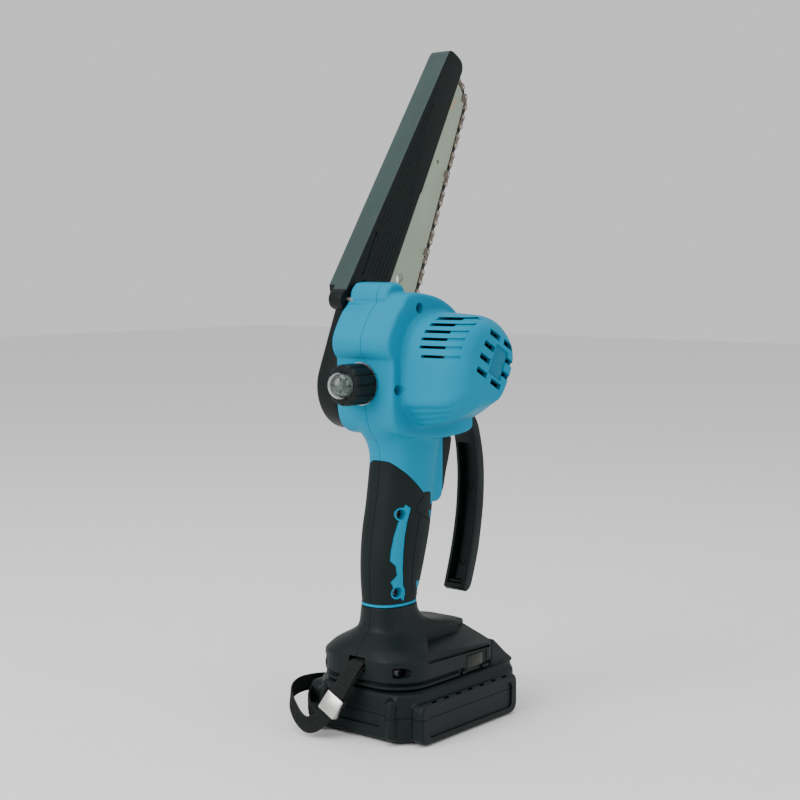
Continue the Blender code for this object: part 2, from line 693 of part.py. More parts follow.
def add_sprocket_cover():
    """Black cup over the sprocket and the bar's tail, open where the bar leaves."""
    outer = wrap([(*SPROCKET, 0.0258), (*on_bar(0.0420, 0.0), 0.0294)], 32)
    shell = bevel(prism("sprocket_cover", outer, HEAD_LEFT + GAP, 0.0388), 0.0030, 2)
    room = wrap([(*SPROCKET, 0.0236), (*on_bar(0.0420, 0.0), 0.0272)], 32)
    cut(shell, prism("cover room", room, 0.0180, 0.0364))
    mouth = [(0.0430, -0.0500), (0.0430, 0.0500), (0.1000, 0.0500), (0.1000, -0.0500)]
    cut(shell, prism("mouth", [on_bar(*corner) for corner in mouth], 0.0100, 0.0500))
    back = [(-0.0900, 0.2225), (-0.0380, 0.2225), (-0.0300, 0.2600), (-0.0900, 0.2600)]
    cut(shell, prism("back opening", back, 0.0100, 0.0500))
    for along in STUDS:
        x, z = on_bar(along, 0.0)
        cut(shell, turned("stud hole", (x, 0.0376, z), "Y", [(-0.003, 0.0030), (0.003, 0.0030)]))
    finish(shell, material("cover_plastic", BLACK, 0.5))


def add_studs():
    steel = material("stud_steel", STEEL, 0.3, 1.0)
    for number, along in enumerate(STUDS):
        x, z = on_bar(along, 0.0)
        stud = turned("bar_stud_%d" % (number + 1), (x, 0.0, z), "Y",
                      [(0.0175, 0.0050), (0.0190, 0.0050), (0.0190, 0.0026), (0.0458, 0.0026)], 12)
        finish(stud, steel)
        nut = prism("bar_nut_%d" % (number + 1), circle((x, z), 0.0053, 6), 0.0391, 0.0438)
        cut(nut, turned("thread", (x, 0.0, z), "Y", [(0.037, 0.0029), (0.048, 0.0029)], 12))
        finish(nut, steel)


def add_tensioner():
    """A screw beside the bar that pushes a small block with a pin into the bar's hole."""
    steel = material("tension_steel", STEEL, 0.35, 1.0)
    x, z = on_bar(0.0300, -0.0115)
    block = box("tension_block", (x - 0.0024, 0.0222, z - 0.0030), (x + 0.0024, 0.0272, z + 0.0030))
    join(block, turned("pin", (x, 0.0, z), "Y", [(0.0262, 0.0016), (0.0312, 0.0016)], 10))
    turn = Matrix.Translation((x, 0.0, z)) @ Matrix.Rotation(BAR_TILT, 4, "Y")
    block.data.transform(turn @ Matrix.Translation((-x, 0.0, -z)))
    middle = Vector((x, 0.0247, z))
    bore = turned("thread", (0.0, 0.0, 0.0), "Z", [(-0.006, 0.0013), (0.006, 0.0013)], 10)
    bore.data.transform(Matrix.Translation(middle) @ Matrix.Rotation(BAR_TILT, 4, "Y"))
    cut(block, bore)
    finish(move_origin(block, middle), steel)
    screw = turned("tension_screw", (0.0, 0.0, 0.0), "Z",
                   [(-0.0090, 0.0010), (0.0070, 0.0010), (0.0070, 0.0020), (0.0100, 0.0020)], 10)
    cut(screw, box("drive", (-0.0004, -0.003, 0.0088), (0.0004, 0.003, 0.011)))
    screw.data.transform(Matrix.Translation(middle) @ Matrix.Rotation(BAR_TILT, 4, "Y"))
    finish(move_origin(screw, middle), steel)


# side outline of the chain cover, as (along, across) on the bar
COVER = [
    (0.2108, -0.0036), (0.2158, -0.0060), (0.2165, -0.0185), (0.2138, -0.0212),
    (0.0520, -0.0393), (0.0340, -0.0415), (0.0320, -0.0330), (0.0450, -0.0325),
    (0.0560, -0.0300), (0.0600, -0.0065),
]


def add_chain_cover():
    """Channel over the back of the bar that swings up about a pin at its foot."""
    outline = [on_bar(along, across) for along, across in COVER]
    shell = bevel(prism("chain_cover", outline, COVER_LOW + GAP, COVER_HIGH), 0.0012, 1)
    knuckle = turned("knuckle", (HINGE[0], 0.0, HINGE[1]), "Y",
                     [(COVER_LOW + GAP, 0.0060), (KNUCKLE_END, 0.0060)], 16)
    foot = [on_bar(*corner) for corner in ((0.0250, -0.0500), (0.0250, -0.0250),
                                           (0.0460, -0.0250), (0.0460, -0.0500))]
    cut(shell, prism("foot step", foot, KNUCKLE_END, 0.0500))
    join(shell, knuckle)
    room = [(0.2078, 0.0050), (0.2136, -0.0060), (0.2140, -0.0170), (0.2122, -0.0190),
            (0.0555, -0.0366), (0.0470, -0.0360), (0.0450, -0.0100), (0.0500, 0.0200)]
    outline = [on_bar(along, across) for along, across in room]
    cut(shell, prism("channel", outline, COVER_LOW + 0.0017, COVER_HIGH - 0.0017))
    cut(shell, turned("pin hole", (HINGE[0], 0.0, HINGE[1]), "Y",
                      [(0.01, 0.0018), (0.05, 0.0018)], 12))
    hinge_point = (HINGE[0], BAR_Y, HINGE[1])
    finish(move_origin(shell, hinge_point), material("chain_cover_plastic", (0.045, 0.06, 0.06), 0.4))
    pin = turned("cover_hinge_pin", (HINGE[0], 0.0, HINGE[1]), "Y",
                 [(0.0175, 0.0015), (KNUCKLE_END + GAP, 0.0015), (KNUCKLE_END + GAP, 0.0030),
                  (KNUCKLE_END + 0.0016, 0.0026)], 12)
    finish(pin, material("pin_steel", STEEL, 0.3, 1.0))


# ---------------------------------------------------------------- hand guard and controls
GUARD_OUTER = [(0.0277, 0.1830), (0.0400, 0.1800), (0.0479, 0.1730), (0.0524, 0.1600),
               (0.0547, 0.1480), (0.0553, 0.1380), (0.0550, 0.1260), (0.0536, 0.1140),
               (0.0500, 0.0950), (0.0448, 0.0790), (0.0414, 0.0715), (0.0372, 0.0692)]
GUARD_INNER = [(0.0340, 0.0715), (0.0366, 0.0790), (0.0410, 0.0930), (0.0446, 0.1080),
               (0.0468, 0.1220), (0.0477, 0.1380), (0.0469, 0.1500), (0.0448, 0.1620),
               (0.0405, 0.1700), (0.0340, 0.1745), (0.0277, 0.1750)]


def add_hand_guard():
    """Channel-shaped guard in front of the fingers, open towards the hand."""
    guard = prism("hand_guard", (GUARD_OUTER + GUARD_INNER)[::-1], -0.0078, 0.0078)
    web = 0.0022
    shifted = [(x - web * 0.92, z + web * 0.2) for x, z in GUARD_OUTER[3:-1]]
    room = shifted + [(0.0300, 0.0765), (0.0250, 0.1000), (0.0300, 0.1560)]
    cut(guard, prism("channel", room[::-1], -0.0056, 0.0056))
    finish(guard, material("guard_plastic", BLACK, 0.5))


def add_controls():
    """Trigger, its switch, the lock-off button, and the control board."""
    face = [(0.0230, 0.1664), (0.0246, 0.1640), (0.0236, 0.1560), (0.0200, 0.1440),
            (0.0176, 0.1360), (0.0160, 0.1334), (0.0020, 0.1334), (0.0020, 0.1664)]
    trigger = bevel(prism("trigger", face[::-1], -0.0055, 0.0055), 0.0010, 2)
    finish(move_origin(trigger, (0.0020, 0.0, 0.1500)), material("trigger_plastic", BLACK, 0.45))
    switch = box("switch_module", (-0.0260, -0.0085, 0.1370), (-0.0085, 0.0068, 0.1600))
    join(switch, box("plunger guide", (-0.0095, -0.0030, 0.1450), (-0.0060, 0.0030, 0.1520)))
    finish(switch, material("switch_plastic", (0.03, 0.03, 0.03), 0.5))
    button = turned("lock_button", LOCK, "Y",
                    [(0.0092, 0.0060), (0.0102, 0.0060), (0.0102, 0.0042), (0.0178, 0.0042),
                     (0.0184, 0.0034)], 16)
    finish(move_origin(button, LOCK), material("button_plastic", BLACK, 0.4))
    board = box("control_board", (-0.0400, -0.0150, 0.0430), (0.0080, 0.0150, 0.0446))
    finish(board, material("board_green", (0.02, 0.18, 0.07), 0.4))


# ---------------------------------------------------------------- oiler
def add_oiler():
    """Push-to-oil dome in a ribbed collar on the back of the head."""
    y, z = OILER
    washer = turned("oiler_washer", (0.0, y, z), "X", [(-0.0497, 0.0122), (-0.0487, 0.0122)], 24)
    cut(washer, turned("hole", (0.0, y, z), "X", [(-0.06, 0.0066), (-0.04, 0.0066)], 20))
    finish(washer, material("washer_steel", (0.75, 0.75, 0.74), 0.25, 1.0))
    ribs = []
    count = 16
    for rib in range(count):
        for part, radius in ((0.0, 0.0109), (0.2, 0.0117), (0.7, 0.0117), (0.9, 0.0109)):
            turn = 2 * math.pi * (rib + part) / count
            ribs.append((radius * math.cos(turn), radius * math.sin(turn)))
    rings = [[(x, y + a * grow, z + b * grow) for a, b in ribs]
             for x, grow in ((-0.0650, 0.90), (-0.0639, 1.0), (-0.0500, 1.0))]
    collar = loft("oiler_collar", rings)
    cut(collar, turned("hole", (0.0, y, z), "X", [(-0.08, 0.0079), (-0.04, 0.0079)], 20))
    finish(move_origin(collar, (-0.0550, y, z)), material("collar_plastic", BLACK, 0.45), 25)
    dome = [(-0.0560, 0.0076), (-0.0668, 0.0076)]
    for step in range(1, 5):
        turn = math.pi / 2 * step / 5
        dome.append((-0.0668 - 0.0062 * math.sin(turn), 0.0076 * math.cos(turn)))
    dome.append((-0.0730, 0.0008))
    bulb = turned("oiler_dome", (0.0, y, z), "X", dome, 20)
    finish(move_origin(bulb, (-0.0560, y, z)), material("dome_clear", (0.75, 0.80, 0.78), 0.1, 0.0, 0.5))
    tank = turned("oil_reservoir", (0.0, y, z), "X",
                  [(-0.0535, 0.0075), (-0.0505, 0.0075), (-0.0505, 0.0056), (-0.0453, 0.0056)], 20)
    finish(tank, material("tank_plastic", (0.70, 0.68, 0.60), 0.4))


# ---------------------------------------------------------------- wrist strap
STRAP_HALF_WIDTH = 0.0048
STRAP_HALF_THICK = 0.0006
# the strap's middle line, and the direction of its width, from the slot round and back
STRAP_ROUTE = [
    ((-0.0535, -0.0012, 0.0446), (0.0, 1.0, 0.0)),
    ((-0.0588, -0.0010, 0.0430), (0.0, 1.0, 0.1)),
    ((-0.0632, 0.0020, 0.0350), (0.0, 0.95, 0.3)),
    ((-0.0663, 0.0052, 0.0270), (0.0, 0.92, 0.38)),
    ((-0.0686, 0.0082, 0.0202), (0.0, 0.90, 0.42)),
    ((-0.0707, 0.0120, 0.0138), (0.0, 0.85, 0.55)),
    ((-0.0726, 0.0165, 0.0092), (0.05, 0.62, 0.80)),
    ((-0.0732, 0.0225, 0.0070), (0.05, 0.20, 0.98)),
    ((-0.0716, 0.0290, 0.0078), (0.0, -0.15, 0.98)),
    ((-0.0688, 0.0360, 0.0110), (-0.05, -0.35, 0.93)),
    ((-0.0645, 0.0430, 0.0155), (-0.15, -0.35, 0.92)),
    ((-0.0580, 0.0478, 0.0190), (-0.2, -0.15, 0.96)),
    ((-0.0490, 0.0495, 0.0205), (-0.1, 0.0, 0.99)),
    ((-0.0380, 0.0493, 0.0200), (0.05, 0.0, 0.99)),
    ((-0.0270, 0.0485, 0.0185), (0.1, 0.0, 0.99)),
    ((-0.0190, 0.0476, 0.0175), (0.1, 0.0, 0.99)),
    ((-0.0158, 0.0450, 0.0170), (0.0, 0.0, 1.0)),
    ((-0.0185, 0.0424, 0.0170), (0.0, 0.0, 1.0)),
    ((-0.0270, 0.0416, 0.0172), (0.0, 0.0, 1.0)),
    ((-0.0370, 0.0418, 0.0178), (0.0, 0.0, 1.0)),
    ((-0.0465, 0.0410, 0.0175), (-0.1, 0.0, 0.99)),
    ((-0.0545, 0.0380, 0.0150), (-0.1, -0.05, 0.99)),
    ((-0.0608, 0.0318, 0.0122), (0.0, 0.0, 0.99)),
    ((-0.0655, 0.0245, 0.0102), (0.0, 0.10, 0.99)),
    ((-0.0684, 0.0175, 0.0104), (0.0, 0.60, 0.80)),
    ((-0.0690, 0.0122, 0.0133), (0.0, 0.87, 0.50)),
    ((-0.0669, 0.0084, 0.0198), (0.0, 0.90, 0.42)),
    ((-0.0647, 0.0052, 0.0266), (0.0, 0.92, 0.38)),
    ((-0.0616, 0.0020, 0.0342), (0.0, 0.95, 0.3)),
    ((-0.0574, -0.0010, 0.0408), (0.0, 1.0, 0.1)),
    ((-0.0535, -0.0012, 0.0416), (0.0, 1.0, 0.0)),
]
FERRULE_AT = 4                   # the route's point in the middle of the ferrule


def smooth_route(route, steps):
    """Catmull-Rom curve through the points and width directions."""
    result = []
    last = len(route) - 1
    for i in range(last):
        around = [route[max(0, min(last, i + k))] for k in (-1, 0, 1, 2)]
        for step in range(steps):
            t = step / steps
            pair = []
            for part in (0, 1):
                a, b, c, d = (Vector(entry[part]) for entry in around)
                pair.append(0.5 * (2 * b + (c - a) * t + (2 * a - 5 * b + 4 * c - d) * t ** 2
                                   + (3 * b - a - 3 * c + d) * t ** 3))
            result.append(tuple(pair))
    result.append((Vector(route[-1][0]), Vector(route[-1][1])))
    return result


def section(point, ahead, width, half_wide, half_thick):
    """Corners of a flat section square to the route."""
    across = (width - ahead * width.dot(ahead)).normalized()
    normal = ahead.cross(across)
    corners = ((1, 1), (-1, 1), (-1, -1), (1, -1))
    return [tuple(point + across * half_wide * a + normal * half_thick * b) for a, b in corners]


def add_strap():
    """Webbing loop from the slot in the foot, with a crimped metal ferrule."""
    line = smooth_route(STRAP_ROUTE, 3)
    rings = []
    for i, (point, width) in enumerate(line):
        ahead = (line[min(i + 1, len(line) - 1)][0] - line[max(i - 1, 0)][0]).normalized()
        rings.append(section(point, ahead, width, STRAP_HALF_WIDTH, STRAP_HALF_THICK))
    finish(loft("wrist_strap", rings), material("webbing", (0.012, 0.014, 0.015), 0.85), 30)

    front = Vector(STRAP_ROUTE[FERRULE_AT][0])
    back = Vector(STRAP_ROUTE[-1 - FERRULE_AT][0])
    ahead = (Vector(STRAP_ROUTE[FERRULE_AT + 1][0]) - Vector(STRAP_ROUTE[FERRULE_AT - 1][0]))
    ahead.normalize()
    middle = (front + back) / 2
    width = Vector(STRAP_ROUTE[FERRULE_AT][1])
    sleeves = []
    for half_wide, half_thick, half_long in ((0.0063, 0.0029, 0.0060), (0.0055, 0.0021, 0.0090)):
        ends = [section(middle + ahead * side * half_long, ahead, width, half_wide, half_thick)
                for side in (-1, 1)]
        sleeves.append(loft("strap_ferrule", ends))
    sleeve, hole = sleeves
    cut(bevel(sleeve, 0.0008, 2), hole)
    sleeve.name = "strap_ferrule"
    finish(sleeve, material("ferrule_metal", (0.80, 0.80, 0.78), 0.25, 1.0))


# ---------------------------------------------------------------- battery
def case_ring(z, shrink):
    """Battery outline at one height, with broad chamfers at the four corners."""
    back = BATTERY_BACK + shrink
    front = BATTERY_FRONT - shrink
    wide = BATTERY_HALF - shrink
    cut_x = 0.0125
    cut_y = 0.0105
    ring = []
    for x, y, turn in ((front, wide, 0), (back, wide, 1), (back, -wide, 2), (front, -wide, 3)):
        inward_x = cut_x if x < 0 else -cut_x
        inward_y = -cut_y if y > 0 else cut_y
        near_x = (x + inward_x * 1.12, y)
        near_x2 = (x + inward_x * 0.86, y + inward_y * 0.06)
        near_y = (x, y + inward_y * 1.12)
        near_y2 = (x + inward_x * 0.06, y + inward_y * 0.86)
        corner = [near_y, near_y2, near_x2, near_x]
        ring += corner if turn % 2 == 0 else corner[::-1]
    return [(x, y, z) for x, y in ring]


def cell_room(name, low, high):
    return loft(name, [case_ring(z, CASE_WALL) for z in (low, high)])


def add_battery():
    black = material("battery_plastic", BLACK, 0.5)
    bottom = loft("battery_bottom_case", [
        case_ring(0.0, 0.0030), case_ring(0.0022, 0.0006), case_ring(0.0040, 0.0),
        case_ring(BATTERY_SPLIT - GAP / 2, 0.0)])
    cut(bottom, cell_room("lower room", 0.0022, 0.0300))
    finish(bottom, black)

    top = loft("battery_top_case", [
        case_ring(BATTERY_SPLIT + GAP / 2, 0.0), case_ring(0.0262, 0.0),
        case_ring(0.0288, 0.0012), case_ring(BATTERY_DECK, 0.0042)])
    nose = [(FOOT_FRONT + 0.0006, 0.0280), (0.0500, 0.0280), (0.0500, 0.0305), (0.0440, 0.0350),
            (0.0320, 0.0448), (FOOT_FRONT + 0.0006, 0.0452)]
    join(top, bevel(prism("nose", nose, -0.0330, 0.0330), 0.0012, 1))
    join(top, box("rail neck", (-0.0440, -0.0216, 0.0290), (0.0285, 0.0216, 0.0362)))
    join(top, box("rail head", (-0.0440, -0.0264, 0.0361), (0.0285, 0.0264, 0.0406)))
    cut(top, cell_room("upper room", 0.0100, 0.0272))
    cut(top, box("contact room", (-0.0400, -0.0180, 0.0265), (0.0200, 0.0180, 0.0385)))
    cut(top, box("nose room", (0.0290, -0.0200, 0.0260), (0.0395, 0.0200, 0.0335)))
    for y in (-0.0120, 0.0, 0.0120):
        cut(top, box("contact slot", (-0.0470, y - 0.0011, 0.0335), (-0.0380, y + 0.0011, 0.0420)))
    cut(top, box("button shaft", (0.0322, -0.0116, 0.0300), (0.0398, 0.0116, 0.0500)))
    finish(top, black)

    sleeve = material("cell_sleeve", (0.10, 0.30, 0.55), 0.35)
    for number in range(5):
        x = (number - 2) * CELL_PITCH
        cell = turned("cell_%d" % (number + 1), (x, 0.0, 0.0022 + GAP + CELL_RADIUS), "Y",
                      [(-CELL_LENGTH / 2, CELL_RADIUS), (CELL_LENGTH / 2, CELL_RADIUS)], 16)
        finish(cell, sleeve)
    board = box("battery_board", (-0.0380, -0.0170, 0.0278), (0.0180, 0.0170, 0.0290))
    finish(board, material("battery_board_green", (0.02, 0.18, 0.07), 0.4))

    # the release button's sloping cap stands in a shaft through the nose, on its spring
    cap = [(0.0325, 0.0340), (0.0395, 0.0340), (0.0395, 0.0408), (0.0325, 0.0464)]
    button = bevel(prism("battery_release_button", cap, -0.0112, 0.0112), 0.0008, 1)
    finish(move_origin(button, (0.0360, 0.0, 0.0340)),
           material("release_plastic", (0.02, 0.02, 0.02), 0.4))
    finish(coil("release_spring", (0.0360, 0.0, 0.0302), 0.0024, 0.00035, 3.0, 0.0030),
           material("spring_steel", STEEL, 0.3, 1.0))


def coil(name, foot, radius, wire, turns, height):
    """Round helical spring along Z with closed ends."""
    steps = 12
    sides = 6
    rings = []
    total = int(turns * steps)
    for i in range(total + 1):
        turn = 2 * math.pi * i / steps
        out = Vector((math.cos(turn), math.sin(turn), 0.0))
        middle = Vector(foot) + out * radius + Vector((0.0, 0.0, wire + height * i / total))
        rings.append([tuple(middle + out * wire * math.cos(a) + Vector((0, 0, wire * math.sin(a))))
                      for a in [2 * math.pi * s / sides for s in range(sides)]])
    return loft(name, rings)


def add_terminal_block():
    """Blades that reach from the foot's back wall into the battery's slots."""
    block = box("terminal_block", (-0.0478, -0.0170, 0.0361), (-0.0445, 0.0170, 0.0415))
    for y in (-0.0120, 0.0, 0.0120):
        join(block, box("blade", (-0.0446, y - 0.0004, 0.0365), (-0.0385, y + 0.0004, 0.0395)))
    finish(block, material("terminal_plastic", (0.75, 0.60, 0.05), 0.5))


add_housing()
add_screws()
add_grip()
add_foot()
add_foot_screws()
add_motor()
add_gearbox()
add_bar()
add_chain()
add_sprocket_cover()
add_studs()
add_tensioner()
add_chain_cover()
add_hand_guard()
add_controls()
add_oiler()
add_strap()
add_battery()
add_terminal_block()
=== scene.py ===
"""Looks of the cordless pruning chainsaw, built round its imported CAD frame.

Metres, in the part's own frame: +Z up, +X the trigger and cutting side, -Y the motor side.
"""

import json
import math

import bmesh
import bpy
import numpy as np
from mathutils import Matrix, Vector

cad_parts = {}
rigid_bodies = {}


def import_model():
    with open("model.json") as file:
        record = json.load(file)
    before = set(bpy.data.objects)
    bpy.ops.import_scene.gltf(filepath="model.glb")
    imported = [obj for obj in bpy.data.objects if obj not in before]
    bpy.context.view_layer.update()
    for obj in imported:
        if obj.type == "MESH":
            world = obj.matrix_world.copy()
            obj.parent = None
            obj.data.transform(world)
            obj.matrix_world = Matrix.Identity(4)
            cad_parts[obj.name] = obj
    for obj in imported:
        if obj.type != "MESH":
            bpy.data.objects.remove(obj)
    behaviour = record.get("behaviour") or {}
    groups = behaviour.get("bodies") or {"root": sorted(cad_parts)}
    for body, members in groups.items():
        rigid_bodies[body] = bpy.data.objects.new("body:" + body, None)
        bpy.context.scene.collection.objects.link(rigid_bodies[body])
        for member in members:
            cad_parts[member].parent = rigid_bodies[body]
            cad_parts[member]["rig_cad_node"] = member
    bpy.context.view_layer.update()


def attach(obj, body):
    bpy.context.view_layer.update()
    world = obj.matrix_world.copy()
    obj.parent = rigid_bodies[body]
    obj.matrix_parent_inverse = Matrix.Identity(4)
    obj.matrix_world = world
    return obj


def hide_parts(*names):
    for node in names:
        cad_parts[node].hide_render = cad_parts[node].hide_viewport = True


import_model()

# ---------------------------------------------------------------- dimensions shared with the CAD
SEAM = 0.00025                   # gap between moulded halves
BAR_TILT = math.radians(27.5)
BAR_Y = 0.0300
SPROCKET = (-0.0219, 0.1976)
SPROCKET_RADIUS = 0.0118
BAR_WIDEST = (0.057, 0.0244)
BAR_NOSE = (0.1936, 0.0132)
STUDS = (0.0255, 0.0372)
DRIVE_LINKS = 37
PITCH = 0.00635                  # rivet to rivet
MOTOR = (-0.0100, 0.2110)
CUP_END = 0.0600                 # the motor cup's end face, outward from the seam
CUP_PLATE = (-0.0040, 0.2132)    # x, z of the blank plate on that face
HINGE = (-0.0372, 0.2478)
OILER = (0.0025, 0.2010)
HEAD_SCREWS = [(-0.0245, 0.2433), (-0.0437, 0.1982)]
GRIP_SCREWS = [(-0.0322, 0.1262), (-0.0352, 0.0817)]
RUBBER = 0.0024                  # thickness of the grip's over-mould
SKIN_VOXEL = 0.0006
GUARD_HALF = 0.0078


# ---------------------------------------------------------------- camera, floor and light
def add_camera():
    """Three-quarter view from behind on the motor side, level with the head."""
    data = bpy.data.cameras.new("camera")
    data.sensor_width = 36.0
    data.lens = 69.14
    camera = bpy.data.objects.new("camera", data)
    bpy.context.scene.collection.objects.link(camera)
    camera.location = (-0.7028, -0.5570, 0.2697)
    forward = Vector((0.7729, 0.6281, -0.0901))
    camera.rotation_euler = forward.to_track_quat("-Z", "Y").to_euler()
    bpy.context.scene.camera = camera


def add_light(name, place, target, size, power, colour=(1.0, 1.0, 1.0)):
    """One soft rectangular studio light."""
    data = bpy.data.lights.new(name, "AREA")
    data.shape = "RECTANGLE"
    data.size = size[0]
    data.size_y = size[1]
    data.energy = power
    data.color = colour
    light = bpy.data.objects.new(name, data)
    bpy.context.scene.collection.objects.link(light)
    light.location = place
    light.rotation_euler = (Vector(target) - Vector(place)).to_track_quat("-Z", "Y").to_euler()


def add_stage():
    """White surround, three soft lights and a pale floor."""
    world = bpy.data.worlds.new("studio")
    bpy.context.scene.world = world
    world.use_nodes = True
    world.node_tree.nodes["Background"].inputs["Color"].default_value = (1.0, 1.0, 1.0, 1.0)
    world.node_tree.nodes["Background"].inputs["Strength"].default_value = 0.80
    add_light("key", (-1.35, 0.25, 0.95), (0.0, 0.0, 0.20), (0.9, 1.3), 20.0)
    add_light("fill", (0.15, -1.5, 0.75), (0.0, 0.0, 0.20), (1.0, 1.2), 5.0)
    add_light("top", (-0.15, -0.10, 1.35), (0.0, 0.0, 0.20), (0.9, 0.9), 6.0)
    floor = new_object("floor", [(-4, -4, 0), (4, -4, 0), (4, 4, 0), (-4, 4, 0)], [(0, 1, 2, 3)])
    floor.location.z = -0.0002
    floor.data.materials.append(surface("floor_paper", (0.86, 0.86, 0.86), 0.9, 300.0, 0.00001,
                                        cloud=0.01, spread=0.03))


# ---------------------------------------------------------------- materials
def link(tree, source, output, target, socket):
    """Join one node's output to another's input."""
    tree.links.new(source.outputs[output], target.inputs[socket])


def noise(tree, coords, scale, detail=3.0, stretch=None):
    """Noise in object space, with an optional stretch along the axes."""
    texture = tree.nodes.new("ShaderNodeTexNoise")
    texture.inputs["Scale"].default_value = scale
    texture.inputs["Detail"].default_value = detail
    if stretch:
        mapping = tree.nodes.new("ShaderNodeMapping")
        mapping.vector_type = "TEXTURE"
        mapping.inputs["Scale"].default_value = stretch[0]
        mapping.inputs["Rotation"].default_value = stretch[1]
        link(tree, coords, "Object", mapping, "Vector")
        link(tree, mapping, "Vector", texture, "Vector")
    else:
        link(tree, coords, "Object", texture, "Vector")
    return texture


def surface(name, colour, roughness, grain, depth, metallic=0.0, cloud=0.10, spread=0.10,
            stretch=None, coat=0.0, second=None, specular=0.5):
    """A moulded, cast or ground surface: soft colour drift, uneven gloss and fine grain.

    grain is the grain's frequency per metre and depth its height. second is a colour that
    flecks of the grain take on.
    """
    made = bpy.data.materials.new(name)
    made.use_nodes = True
    tree = made.node_tree
    shader = tree.nodes["Principled BSDF"]
    shader.inputs["Metallic"].default_value = metallic
    shader.inputs["Specular IOR Level"].default_value = specular
    if coat:
        shader.inputs["Coat Weight"].default_value = coat
        shader.inputs["Coat Roughness"].default_value = 0.25
    coords = tree.nodes.new("ShaderNodeTexCoord")
    drift = noise(tree, coords, 45.0, 2.0)
    fine = noise(tree, coords, grain, 4.0, stretch)
    ramp = tree.nodes.new("ShaderNodeValToRGB")
    ramp.color_ramp.elements[0].position = 0.30
    ramp.color_ramp.elements[1].position = 0.70
    ramp.color_ramp.elements[0].color = (*[c * (1 - cloud) for c in colour], 1.0)
    ramp.color_ramp.elements[1].color = (*[c * (1 + cloud) for c in colour], 1.0)
    link(tree, drift, "Fac", ramp, "Fac")
    last = ramp
    socket = "Color"
    if second:
        flecks = tree.nodes.new("ShaderNodeMapRange")
        flecks.inputs["From Min"].default_value = 0.48
        flecks.inputs["From Max"].default_value = 0.75
        link(tree, fine, "Fac", flecks, "Value")
        mix = tree.nodes.new("ShaderNodeMix")
        mix.data_type = "RGBA"
        tree.links.new(flecks.outputs["Result"], mix.inputs[0])
        tree.links.new(ramp.outputs["Color"], mix.inputs[6])
        mix.inputs[7].default_value = (*second, 1.0)
        last = mix
        socket = 2
    tree.links.new(last.outputs[socket], shader.inputs["Base Color"])
    gloss = tree.nodes.new("ShaderNodeMapRange")
    gloss.inputs["To Min"].default_value = max(0.03, roughness - spread)
    gloss.inputs["To Max"].default_value = min(1.0, roughness + spread)
    link(tree, fine, "Fac", gloss, "Value")
    link(tree, gloss, "Result", shader, "Roughness")
    bump = tree.nodes.new("ShaderNodeBump")
    bump.inputs["Strength"].default_value = 0.6
    bump.inputs["Distance"].default_value = depth
    link(tree, fine, "Fac", bump, "Height")
    link(tree, bump, "Normal", shader, "Normal")
    return made


# ---------------------------------------------------------------- mesh helpers
def new_object(name, vertices, faces):
    mesh = bpy.data.meshes.new(name)
    mesh.from_pydata([tuple(v) for v in vertices], [], faces)
    mesh.validate()
    made = bpy.data.objects.new(name, mesh)
    bpy.context.scene.collection.objects.link(made)
    work = bmesh.new()
    work.from_mesh(mesh)
    bmesh.ops.recalc_face_normals(work, faces=work.faces)
    work.to_mesh(mesh)
    work.free()
    return made


def loft(name, rings):
    """Closed solid through rings that have the same number of points."""
    count = len(rings[0])
    vertices = [point for ring in rings for point in ring]
    faces = [list(range(count)), [len(vertices) - 1 - i for i in range(count)]]
    for level in range(len(rings) - 1):
        low = level * count
        high = low + count
        for i in range(count):
            j = (i + 1) % count
            faces.append([low + i, low + j, high + j, high + i])
    return new_object(name, vertices, faces)


def prism(name, outline, low, high):
    """Outline of (x, z) points, extruded along Y."""
    return loft(name, [[(x, y, z) for x, z in outline] for y in (low, high)])


def plate(name, outline, low, high):
    """Outline of (x, y) points, extruded along Z."""
    return loft(name, [[(x, y, z) for x, y in outline] for z in (low, high)])


def block(name, low, high):
    outline = [(low[0], low[1]), (high[0], low[1]), (high[0], high[1]), (low[0], high[1])]
    return plate(name, outline, low[2], high[2])


def circle(centre, radius, count=32):
    turn = 2 * math.pi / count
    return [(centre[0] + radius * math.cos(i * turn), centre[1] + radius * math.sin(i * turn))
            for i in range(count)]


def turned(name, centre, axis, profile, count=48):
    """Solid of revolution; profile is (distance along the axis, radius)."""
    rings = []
    for along, radius in profile:
        ring = []
        for a, b in circle((0.0, 0.0), radius, count):
            offset = {"X": (along, a, b), "Y": (a, along, b), "Z": (a, b, along)}[axis]
            ring.append(tuple(c + o for c, o in zip(centre, offset)))
        rings.append(ring)
    return loft(name, rings)


def rod(name, centre, axis, low, high, radius, count=48):
    """Straight cylinder between two distances along its axis."""
    return turned(name, centre, axis, [(low, radius), (high, radius)], count)


def evaluate(target):
    """Apply the modifiers."""
    graph = bpy.context.evaluated_depsgraph_get()
    mesh = bpy.data.meshes.new_from_object(target.evaluated_get(graph))
    old = target.data
    target.modifiers.clear()
    target.data = mesh
    bpy.data.meshes.remove(old)
    return target


def merge(name, pieces):
    """One object from several, without any Boolean."""
    work = bmesh.new()
    for piece in pieces:
        work.from_mesh(piece.data)
        bpy.data.objects.remove(piece, do_unlink=True)
    mesh = bpy.data.meshes.new(name)
    work.to_mesh(mesh)
    work.free()
    made = bpy.data.objects.new(name, mesh)
    bpy.context.scene.collection.objects.link(made)
    return made


def combine(target, tools, operation):
    for tool in tools:
        modifier = target.modifiers.new("combine", "BOOLEAN")
        modifier.operation = operation
        modifier.object = tool
        modifier.solver = "EXACT"
        modifier.use_self = False
        evaluate(target)
        bpy.data.objects.remove(tool, do_unlink=True)
    return target


def cut(target, *tools):
    return combine(target, tools, "DIFFERENCE")


def join(target, *tools):
    return combine(target, tools, "UNION")


def keep(target, tool):
    return combine(target, [tool], "INTERSECT")


